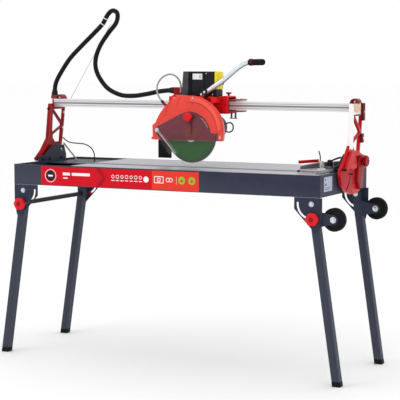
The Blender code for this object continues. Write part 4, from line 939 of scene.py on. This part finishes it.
def guard_shell():
    """Open-bottomed shell: side wall, rounded shoulder, stepped face and back."""
    shoulder = 0.01
    rows = [(0.0, GUARD_BACK), (0.0, GUARD_FRONT + shoulder)]
    rows += [(shoulder * (1 - cos(a)), GUARD_FRONT + shoulder * (1 - sin(a)))
             for a in (radians(d) for d in (18, 36, 54, 72, 90))]
    shape = bmesh.new()
    lines = []
    for inset, y in rows:
        scale = 1 - GUARD_TAPER * (y - GUARD_FRONT) / (GUARD_BACK - GUARD_FRONT)
        lines.append([shape.verts.new((0.05 + (x - 0.05) * scale, y,
            GUARD_BOTTOM + (z - GUARD_BOTTOM) * scale)) for x, z in guard_line(inset)])
    for low, high in zip(lines, lines[1:]):
        for k in range(len(low) - 1):
            shape.faces.new((low[k], low[k + 1], high[k + 1], high[k]))
    shape.faces.new(lines[-1])
    hole = arc(BLADE, 0.035, 180, 0, 17)
    back = [shape.verts.new((x, GUARD_BACK, z)) for x, z in
            [(BLADE[0] - 0.035, GUARD_BOTTOM)] + hole + [(BLADE[0] + 0.035, GUARD_BOTTOM)]]
    shape.faces.new(lines[0] + back)
    facing_out(shape)
    middle = Vector((0.05, -0.07, 1.1))
    wall = [f for f in shape.faces if len(f.verts) == 4]
    if sum((f.calc_center_median() - middle).dot(f.normal) for f in wall) < 0:
        bmesh.ops.reverse_faces(shape, faces=shape.faces)
    bmesh.ops.solidify(shape, geom=shape.faces[:], thickness=0.0025)
    return shape


def line_rib(points, width, height, y):
    """A narrow raised rib on the guard's or lens's face along an XZ line."""
    route = [Vector(p) for p in points]
    left, right = [], []
    for k, p in enumerate(route):
        ahead = (route[min(k + 1, len(route) - 1)] - route[max(k - 1, 0)]).normalized()
        side = Vector((-ahead.y, ahead.x)) * width / 2
        left.append(tuple(p + side))
        right.append(tuple(p - side))
    return plate([left + right[::-1]], "XZ", (y - height, y), 0.0003, 1)


def clip_low(outline, z):
    """The part of an outline above a height."""
    kept = []
    for k, here in enumerate(outline):
        before = outline[k - 1]
        if (before[1] >= z) != (here[1] >= z):
            t = (z - before[1]) / (here[1] - before[1])
            kept.append((before[0] + t * (here[0] - before[0]), z))
        if here[1] >= z:
            kept.append(here)
    return kept


def tangent_angle(a, radius_a, b, radius_b, side):
    along = atan2(b[1] - a[1], b[0] - a[0])
    return degrees(along + side * acos((radius_a - radius_b) / dist(a, b)))


def lens_outline(inset=0.0):
    boss = 0.017 - inset
    low = tangent_angle(LENS_PIVOT, boss, LENS_CENTRE, 0.1425 - inset, -1)
    high = tangent_angle(LENS_PIVOT, boss, BLADE, 0.107 - inset, 1)
    outline = arc(BLADE, 0.107 - inset, 6, high, 30)
    outline += arc(LENS_PIVOT, boss, high, low + 360, 14)
    return outline + arc(LENS_CENTRE, 0.1425 - inset, low, 1, 60)


def make_guard():
    face = GUARD_FRONT
    parts = [(guard_shell(), "guard")]
    # Painted highlight: a lighter red band on the face stands in for light caught by the guard's rounded rim.
    band = arc(GUARD_ARC, 0.149, 2, 92, 40) + arc(GUARD_ARC, 0.13, 92, 2, 40)
    parts.append((plate([band], "XZ", (face - 0.0012, face + 0.0005), 0.0009, 2), "guard_painted_highlight"))
    seams = [line_rib(arc(GUARD_ARC, 0.1285, 2, 96, 40), 0.0014, 0.0008, face),
        line_rib([(-0.043, 1.1935), (-0.056, 1.16), (-0.064, 1.124)], 0.0012, 0.0008, face),
        line_rib([(0.01, 1.208), (0.002, 1.19), (-0.006, 1.165)], 0.0012, 0.0008, face),
        line_rib([(0.076, 1.201), (0.074, 1.186), (0.073, 1.174)], 0.0012, 0.0008, face)]
    parts.append((merged(*seams), "seam"))
    pads = [box((-0.136, -0.119), (face - 0.0015, face + 0.001), (1.015, 1.027), 0.001),
        box((0.2, 0.2225), (face - 0.0015, face + 0.001), (1.015, 1.046), 0.001),
        box((-0.052, -0.018), (-0.062, -0.044), (1.162, 1.208), 0.005, 3)]
    # Painted shade: the dark maroon sheet under the lens outline stands in for the shadowed inside of the
    # guard seen through the lens.
    parts += [(merged(*pads), "guard"), (plate([clip_low(lens_outline(0.0012), GUARD_BOTTOM + 0.0006)], "XZ",
        (face - 0.0006, face + 0.0004), 0.0002, 1), "maroon")]
    disc = lathe([(0, 0.0016), (0.028, 0.0016), (0.031, 0.001), (0.032, 0.0004), (0, 0.0004)],
        (BLADE[0], face, 1.048), "-Y", 40)
    parts.append((disc, "seam"))
    screws = [bolt((0.0745, face, 1.204), "-Y", 0.0036, 0.0028),
        bolt((0.211, face - 0.0015, 1.03), "-Y", 0.0036, 0.0028),
        bolt((-0.035, -0.062, 1.199), "-Y", 0.0042, 0.0032)]
    parts.append((merged(*screws), "zinc"))
    piece("guard_hood", "head", parts, ["guard_shell"])


def make_motor():
    centre = (MOTOR[0], -0.035, MOTOR[1])
    can = lathe([(0, 0.0), (0.048, 0.0), (0.056, 0.004), (0.0594, 0.012), (0.0599, 0.014), (0.0599, 0.118),
        (0.0594, 0.12), (0.056, 0.1225), (0, 0.1225)], centre, "Y", 192, 32, 0.045, {4, 5})
    cover = lathe([(0, 0.1215), (0.0572, 0.1215), (0.0588, 0.1235), (0.0588, 0.138), (0.0558, 0.15),
        (0.052, 0.16), (0.05, 0.1612), (0.049, 0.16), (0.044, 0.16), (0.043, 0.1612), (0.037, 0.1612),
        (0.036, 0.16), (0.031, 0.16), (0.03, 0.1612), (0.024, 0.1612), (0.023, 0.16), (0.018, 0.16),
        (0.017, 0.163), (0, 0.164)], centre, "Y", 64)
    neck = lathe([(0.0135, 0), (0.0285, 0), (0.03, 0.0015), (0.03, 0.02), (0.0135, 0.02)],
        (BLADE[0], -0.045, BLADE[1]), "Y", 48)
    front = GUARD_BACK + 0.0003
    arm = [(-0.078, 1.2), (0.01, 1.02), (0.1, 1.03), (0.14, 1.19), (0.14, 1.208), (-0.064, 1.208)]
    # Painted light: the arm plate and shelf take the brightened red, a lit copy of the red paint for parts
    # that sit in shade.
    parts = [(can, "motor"), (cover, "motor"), (neck, "motor"),
        (plate([arm, ring(BLADE, 0.0135, 28), ring(PIVOT, 0.0087, 24)], "XZ", (front, -0.012), 0.003, 3),
        "lit_copy_red"), (box((-0.06, 0.145), (front, 0.0447), (1.18, 1.2107), 0.003, 3), "lit_copy_red"),
        (box((0.1, 0.126), (front, -0.0308), (1.19, 1.2428), 0.002, 3), "black_steel"),
        (box((0.1, 0.126), (-0.0598, -0.0565), (1.219, 1.2428), 0.0012, 3), "black_steel"),
        (box((0.146, 0.158), (-0.029, 0.04), (1.211, 1.242), 0.003, 3), "black")]
    boss = lathe(mirrored([(0.0088, -0.043), (0.0185, -0.043), (0.02, -0.0415)]),
        (PIVOT[0], 0.0015, PIVOT[1]), "Y", 40)
    parts += [(boss, "red"), (bolt((0.113, -0.0598, 1.231), "-Y", 0.0042, 0.0036), "zinc")]
    piece("motor_unit", "head", parts, ["motor_housing"])


def make_switch():
    case = [(-0.02, 1.211), (0.146, 1.211), (0.148, 1.3225), (-0.0095, 1.3225)]
    parts = [(plate([case], "XZ", (-0.03, 0.0447), 0.003, 3), "black")]
    side = [(-0.017, 1.215), (0.018, 1.215), (0.02, 1.319), (-0.0075, 1.319)]
    parts.append((plate([side], "XZ", (-0.0335, -0.0285), 0.0014, 2), "grey_plastic"))
    ribs = [box((x, x + 0.0035), (-0.0345, -0.0285), (1.215, 1.319), 0.001)
            for x in (0.023, 0.03)]
    ribs += [box((0.036, 0.096), (-0.033, -0.029), (1.3165, 1.32), 0.0008),
        box((0.036, 0.096), (-0.033, -0.029), (1.226, 1.23), 0.0008),
        box((0.096, 0.101), (-0.033, -0.029), (1.226, 1.32), 0.0008)]
    parts += [(merged(*ribs), "black"), (plate([rect((0.04, 0.088), (1.287, 1.313), 0.0015)], "XZ",
        (-0.0308, -0.0298), 0.0002, 1), "decal_white")]
    marks = [rect((0.044, 0.06), (1.302, 1.304), 0.0006), rect((0.044, 0.068), (1.296, 1.2975), 0.0006),
        rect((0.072, 0.084), (1.292, 1.308), 0.001)]
    parts += [(plate(marks, "XZ", (-0.0311, -0.0307), 0.0001, 0), "decal_blue"),
        (merged(*[box((x, x + 0.004), (-0.02, 0.035), (1.3215, 1.3222), 0.0002, 1)
        for x in (0.01, 0.022, 0.034)]), "grey_plastic")]
    screws = [bolt((x, -0.03, z), "-Y", 0.0026, 0.0022, 1.1) for x, z in ((0.108, 1.314), (0.14, 1.22))]
    parts.append((merged(*screws), "zinc"))
    piece("switch_case", "head", parts, ["switch_box"])
    outline = rect((-0.028, 0.043), (1.243, 1.3225), 0.008, 7)
    hole = ring(STOP, 0.0066, 28)
    parts = [(plate([outline, hole], "YZ", (0.1483, 0.16), 0.0026, 3), "yellow")]
    lip = [ring(STOP, 0.0185, 36), ring(STOP, 0.016, 36)]
    parts += [(plate(lip, "YZ", (0.1594, 0.1612), 0.0006, 2), "yellow"),
        (merged(*[bolt((0.16, y, z), "X", 0.0024, 0.001, 1.1) for y,
        z in ((-0.0205, 1.315), (0.0355, 1.315), (-0.0205, 1.2505), (0.0355, 1.2505))]), "zinc")]
    piece("switch_panel", "head", parts, ["switch_plate"])
    button = lathe([(0, 0.024), (0.007, 0.0236), (0.0115, 0.0222), (0.0138, 0.02), (0.014, 0.018),
        (0.0136, 0.0158), (0.012, 0.0145), (0.006, 0.0135), (0.006, 0), (0, 0)], (0.1545, *STOP), "X", 48)
    piece("stop_cap", "stop_button", [(button, "knob")], ["stop_button"])


def make_handle():
    y = -0.045
    bend = [(0.093, 0, 1.2163), (0.125, 0, 1.2366), (0.1578, 0, 1.2573), (0.2097, 0, 1.2901),
        (0.238, 0, 1.312), (0.266, 0, 1.3335), (0.286, 0, 1.3465), (0.301, -0.001, 1.355),
        (0.317, -0.003, 1.3612)]
    route = [Vector((x, y + dy, z)) for x, dy, z in bend]
    start = Vector((0.334, y - 0.008, 1.365))
    along = Vector((0.088, -0.047, 0.001)).normalized()
    route += [start + along * reach for reach in (0, 0.025, 0.05, 0.08)]
    tube = sweep(smooth_route(route, 8), 0.0109, 28)
    first, step = Vector((0.145, y, 1.2492)), Vector((0.2097, y, 1.2901))
    run = (step - first).normalized()
    turn = turned_to(run)
    length = (step - first).length
    sleeve = lathe([(0.0112, 0), (0.0122, 0.0006), (0.0122, length - 0.003), (0.0112, length)], first, turn,
        32)
    piece("handle_bar", "head", [(tube, "chrome"), (sleeve, "zinc")], ["handle_tube"])
    start = start + along * 0.004
    turn = turned_to(along)
    profile = [(0, 0.094), (0.011, 0.094), (0.0132, 0.0928), (0.014, 0.09)]
    for k in range(8):
        z = 0.087 - 0.0075 * k
        profile += [(0.014, z), (0.014, z - 0.0035), (0.0129, z - 0.0045), (0.0129, z - 0.0065)]
    profile += [(0.0134, 0.0262), (0.0118, 0.0258), (0.0118, 0.08), (0, 0.08)]
    flange = lathe([(0.0118, 0.015), (0.0152, 0.0148), (0.0155, 0.013), (0.0155, 0.0022), (0.015, 0.0004),
        (0.0118, 0.0002)], start, turn, 32)
    band = lathe([(0.0118, 0.0256), (0.0138, 0.0254), (0.0141, 0.024), (0.0141, 0.017), (0.0136, 0.0154),
        (0.0118, 0.0152)], start, turn, 32)
    piece("grip_sleeve", "head", [(lathe(profile, start, turn, 36), "rubber"), (flange, "rubber"),
        (band, "maroon")], ["handle_grip"])


def make_head_small():
    knob = lathe([(0, 0.03), (0.0065, 0.03), (0.008, 0.0312), (0.0115, 0.0315), (0.0175, 0.03),
        (0.0206, 0.027), (0.0215, 0.0235), (0.021, 0.017), (0.0192, 0.0132), (0.01, 0.0127), (0.004, 0.0125),
        (0.004, 0.0003), (0, 0.0003)], (GUARD_KNOB[0], GUARD_FRONT, GUARD_KNOB[1]), "-Y", 72, 6, 0.09,
        {4, 5, 6, 7, 8})
    piece("lens_knob", "guard_knob", [(knob, "knob")], ["guard_knob"])
    stem = rod(0.0045, (0.0003, 0.007), (LENS_PIVOT[0], GUARD_FRONT, LENS_PIVOT[1]), "-Y", 20)
    nut = bolt((LENS_PIVOT[0], GUARD_FRONT - 0.0066, LENS_PIVOT[1]), "-Y", 0.0078, 0.0048, 1.3)
    piece("lens_pivot_nut", "head", [(stem, "zinc"), (nut, "zinc")], ["guard_bolt"])
    fittings = [lathe([(0.0045, 0.0), (0.0068, 0.0), (0.0068, 0.004), (0.0058, 0.009), (0.0046, 0.014),
                       (0.0045, 0.014)], place, turn, 20)
                for place, turn in (((-0.032, -0.008, 1.211), AXES["Z"]),
                                    ((-0.09, -0.07, 1.1812),
                                     turned_to(Vector((-0.023, 0.005, 0.0218)))))]
    elbow = sweep(smooth_route([(-0.0893, -0.07, 1.1806), (-0.082, -0.069, 1.172), (-0.074, -0.0675, 1.164),
        (-0.066, -0.066, 1.156)], 5), 0.0062, 18)
    piece("hose_fittings", "head", [(merged(*fittings), "black"), (elbow, "deep_red")])


def make_blade():
    half = 0.0011
    profile = mirrored([(0.0128, half * 0.8), (0.112, half * 0.8), (0.1135, half), (0.1246, half),
        (0.125, half * 0.7)])
    piece("tile_blade", "spindle", [(lathe(profile, (BLADE[0], BLADE_Y, BLADE[1]), "Y", 144), "blade")],
        ["blade"])


def make_lens():
    angle = bearing(LENS_PIVOT, GUARD_KNOB)
    slot = arc_slot(LENS_PIVOT, dist(LENS_PIVOT, GUARD_KNOB), 0.0046, angle - 25.5, angle + 0.3)
    sheet = plate([lens_outline(), ring(LENS_PIVOT, 0.0049, 24), slot], "XZ", (-0.1045, -0.1015), 0.0009, 2)
    # Painted highlight: the white ribs on the clear lens stand in for the streaks of light along its ridges.
    ribs = [line_rib([(-0.0985, 1.05), (-0.05, 0.996), (-0.008, 0.95)], 0.0022, 0.001, -0.1045),
        line_rib([(-0.094, 1.054), (-0.04, 0.996), (-0.002, 0.956)], 0.0008, 0.0008, -0.1045),
        line_rib(arc(BLADE, 0.099, 20, 52, 14), 0.001, 0.0008, -0.1045)]
    piece("lower_guard_lens", "lower_guard", [(sheet, "lens"), (merged(*ribs), "decal_white")],
        ["lower_guard"])


# ---------------------------------------------------------------- fence

def make_fence():
    a, b = Vector((0.605, -0.126)), Vector((0.712, 0.148))
    along = (b - a).normalized()
    across = Vector((along.y, -along.x))
    place = Matrix(((along.x, across.x, 0, a.x), (along.y, across.y, 0, a.y), (0, 0, 1, 0), (0, 0, 0, 1)))

    def on_fence(shape):
        bmesh.ops.transform(shape, verts=shape.verts, matrix=place)
        facing_out(shape)
        return shape

    base, top = 0.9023, 0.93
    end = (b - a).length
    panels = [((0.0, 0.125), (0.9215, top)), ((0.152, 0.198), (top, top)), ((0.214, end), (0.9285, top))]
    parts = []
    for (s0, s1), (h0, h1) in panels:
        parts.append((on_fence(plate([[(s0, base), (s1, base), (s1, h1), (s0, h0)]], "XZ", (-0.0034, 0.0034),
            0.0008)), "pale"))
        e = 0.0026
        parts.append((on_fence(plate([[(s0 + e, base + e), (s1 - e, base + e), (s1 - e, h1 - e),
            (s0 + e, h0 - e)]], "XZ", (-0.004, 0.004), 0.0005)), "fence"))
    parts += [(on_fence(box((0.12, 0.22), (-0.003, 0.003), (base, 0.924), 0.0006)), "fence"),
        (on_fence(box((0.127, 0.149), (-0.0062, 0.0062), (base, 0.9345), 0.0014, 3)), "decal_white"),
        (on_fence(merged(*[rod(0.0026, (0, 0.0012), (s, 0.0062, z), "Y", 18) for s,
        z in ((0.133, 0.911), (0.1425, 0.927))])), "seam")]
    parts += [(on_fence(box((-0.002, 0.125), (-0.004, -0.0008), (0.929, 0.943), 0.0012, 3)), "red"),
        (on_fence(box((-0.004, 0.105), (-0.003, 0.009), (0.8985, 0.9021), 0.0008)), "deep_red"),
        (on_fence(box((-0.003, 0.104), (0.0082, 0.0098), (0.8995, 0.9035), 0.0004)), "pale")]
    foot = lathe([(0, 0), (0.0052, 0), (0.006, 0.0008), (0.006, 0.0062), (0.0048, 0.0075), (0, 0.0075)],
        (-0.007, 0.002, 0.8945), "Z", 24)
    parts.append((on_fence(foot), "black"))
    lug = lathe([(0, 0), (0.0172, 0), (0.018, 0.0008), (0.018, 0.0082), (0.0172, 0.009), (0, 0.009)],
        (*FENCE_PIVOT, base), "Z", 32)
    near = a + along * ((Vector(FENCE_PIVOT) - a).dot(along))
    arm = box((near.x, FENCE_PIVOT[0]), (0.008, 0.032), (base, base + 0.009), 0.001)
    parts.append((merged(lug, arm), "fence"))
    post = a + along * 0.132
    trigger = smooth_route([(post.x, post.y, 0.926), (post.x, post.y, 0.942), (post.x, post.y, 0.955),
        (post.x - 0.0025, post.y - 0.0012, 0.966), (post.x - 0.006, post.y - 0.003, 0.979)], 5)
    parts.append((sweep(trigger, 0.0026, 16), "black_steel"))
    piece("angle_fence", "fence", parts, ["fence_plate"])
    slide = [(box((0.676, 0.742), (-0.002, 0.042), (0.8976, 0.902), 0.001), "fence"),
        (box((0.7365, 0.7415), (-0.0015, 0.0415), (0.899, 0.9018), 0.0005), "deep_red")]
    piece("fence_shoe", "fence_slide", slide, ["fence_slide"])
    z = 0.9116
    hub = lathe([(0, 0), (0.0115, 0), (0.012, 0.0006), (0.012, 0.024), (0.0105, 0.0276), (0, 0.028)],
        (*FENCE_PIVOT, z), "Z", 36, 12, 0.05, {2, 3})
    reach = smooth_route([(0.693, 0.024, z + 0.0215), (0.6985, 0.039, z + 0.0262), (0.704, 0.055, z + 0.03),
        (0.7085, 0.07, z + 0.0328), (0.712, 0.085, z + 0.034), (0.714, 0.105, z + 0.032)], 5)
    lever = sweep(reach, 0.0045, 18, lambda i: 0.82 + 0.18 * sin(min(1, i / 25) * pi / 2))
    piece("fence_clamp_lever", "fence_lever", [(hub, "black"), (lever, "black")],
        ["fence_lever"])


# ---------------------------------------------------------------- hoses and cords

CONDUIT = [(-0.777, 1.2034), (-0.7765, 1.23), (-0.769, 1.265), (-0.7415, 1.3115), (-0.6898, 1.3791),
    (-0.624, 1.4399), (-0.5522, 1.5015), (-0.505, 1.545), (-0.479, 1.585), (-0.452, 1.606), (-0.425, 1.593),
    (-0.431, 1.55), (-0.4749, 1.5), (-0.5172, 1.445), (-0.5425, 1.39), (-0.5461, 1.34), (-0.5256, 1.29),
    (-0.4769, 1.237), (-0.4069, 1.208), (-0.3373, 1.205), (-0.2688, 1.214), (-0.2009, 1.227),
    (-0.15, 1.2325), (-0.119, 1.233)]
PUMP_HOSE = [(-0.756, 0.14, 0.97), (-0.721, 0.14, 0.932), (-0.6905, 0.14, 0.9), (-0.6835, 0.14, 0.885),
    (-0.6835, 0.14, 0.869)]
PUMP_CORD = [(-0.759, 0.14, 0.9953), (-0.738, 0.14, 0.98), (-0.7141, 0.14, 0.9715), (-0.676, 0.14, 0.969),
    (-0.6379, 0.14, 0.966), (-0.604, 0.14, 0.952), (-0.585, 0.14, 0.929), (-0.5805, 0.14, 0.9),
    (-0.5805, 0.14, 0.869)]
WATER_LOOP = [(-0.09, -0.07, 1.1812), (-0.113, -0.065, 1.203), (-0.129, -0.056, 1.231),
    (-0.133, -0.045, 1.262), (-0.118, -0.033, 1.292), (-0.087, -0.022, 1.309), (-0.055, -0.015, 1.301),
    (-0.035, -0.009, 1.272), (-0.0315, -0.008, 1.238), (-0.032, -0.008, 1.2115)]
MOTOR_CABLE = [(MOTOR[0] + reach * cos(radians(lift)), y, MOTOR[1] + reach * sin(radians(lift)))
               for lift, reach, y in ((15, 0.0615, 0.095), (17, 0.072, 0.096), (15, 0.084, 0.099),
                                      (8, 0.092, 0.101), (-3, 0.093, 0.102), (-12, 0.086, 0.101),
                                      (-17, 0.074, 0.099), (-17, 0.0615, 0.098))]


def hose(name, route, radius, finish, body, node, step, wave=None, blend=None,
        segments=16):
    """A free hose or cord along its route."""
    line = evenly(smooth_route(route, 12), step)
    item = piece(name, body, [(sweep(line, radius, segments, wave), finish)], [node], 60, blend)


def make_hoses():
    conduit = [(x, CONDUIT_Y, z) for x, z in CONDUIT]
    lean = Vector((0.76, 0.0, -0.65)).normalized()
    top = Vector((-0.43 + SHIFT, CONDUIT_Y, 1.6))
    reach = (Vector((-0.119 + SHIFT, CONDUIT_Y, 1.233)) - top).dot(lean)
    hose("conduit_hose", conduit, 0.0112, "conduit", None, "conduit",
        0.0021, lambda i: (1.0, 0.985, 0.955)[i % 3], ("bridge", "carriage", tuple(top),
        tuple(top + lean * reach)))
    for name, route, radius, finish, slot, node in (("pump_water_hose", PUMP_HOSE, 0.004, "hose",
            "clear_hose", "pump_hose"), ("pump_mains_cord", PUMP_CORD, 0.0028, "cord", "cord_grey",
            "pump_cord")):
        start = Vector(route[0]) + Vector((SHIFT, 0, 0))
        end = Vector(route[-1]) + Vector((SHIFT, 0, 0.02))
        hose(name, route, radius, finish, None, node, 0.003, None,
            ("bridge", "frame", tuple(start), tuple(end)))
    hose("blade_water_hose", WATER_LOOP, 0.0042, "hose", "head", "water_loop_hose",
        0.003)
    hose("motor_lead", MOTOR_CABLE, 0.0032, "cord", "head", "motor_cable",
        0.003)


def along_line(route, place):
    """A straight frame at the route's point nearest the place, its Z along the route."""
    line = smooth_route(route, 12)
    k = min(range(1, len(line) - 1), key=lambda i: (line[i] - Vector(place)).length)
    turn = turned_to((line[k + 1] - line[k - 1]).normalized())
    return line[k], turn


def make_ties():
    conduit = [(x, CONDUIT_Y, z) for x, z in CONDUIT]
    ties = []
    for place in ((-0.506, CONDUIT_Y, 1.544), (-0.489, CONDUIT_Y, 1.568)):
        centre, turn = along_line(conduit, place)
        ties.append(lathe([(0.0113, -0.0021), (0.0126, -0.0021), (0.0129, 0.0), (0.0126, 0.0021),
            (0.0113, 0.0021)], centre, turn, 32))
    piece("cable_ties", "bridge", [(merged(*ties), "decal_white")])


# ---------------------------------------------------------------- build

make_camera()
make_studio()
M = make_materials()
make_hoses()
make_ties()
make_table()
make_decals()
for leg_side in ("left", "right"):
    for leg_end in ("front", "rear"):
        make_bracket(leg_side, leg_end)
        make_leg_knob(leg_side, leg_end)
make_wheel("front")
make_wheel("rear")
make_hinges()
make_tower_left()
make_tower_right()
make_beam()
make_beam_cap("left", -0.741)
make_beam_cap("right", 0.778)
make_bridge_small()
make_carriage()
make_guard()
make_motor()
make_switch()
make_handle()
make_head_small()
make_blade()
make_lens()
make_fence()
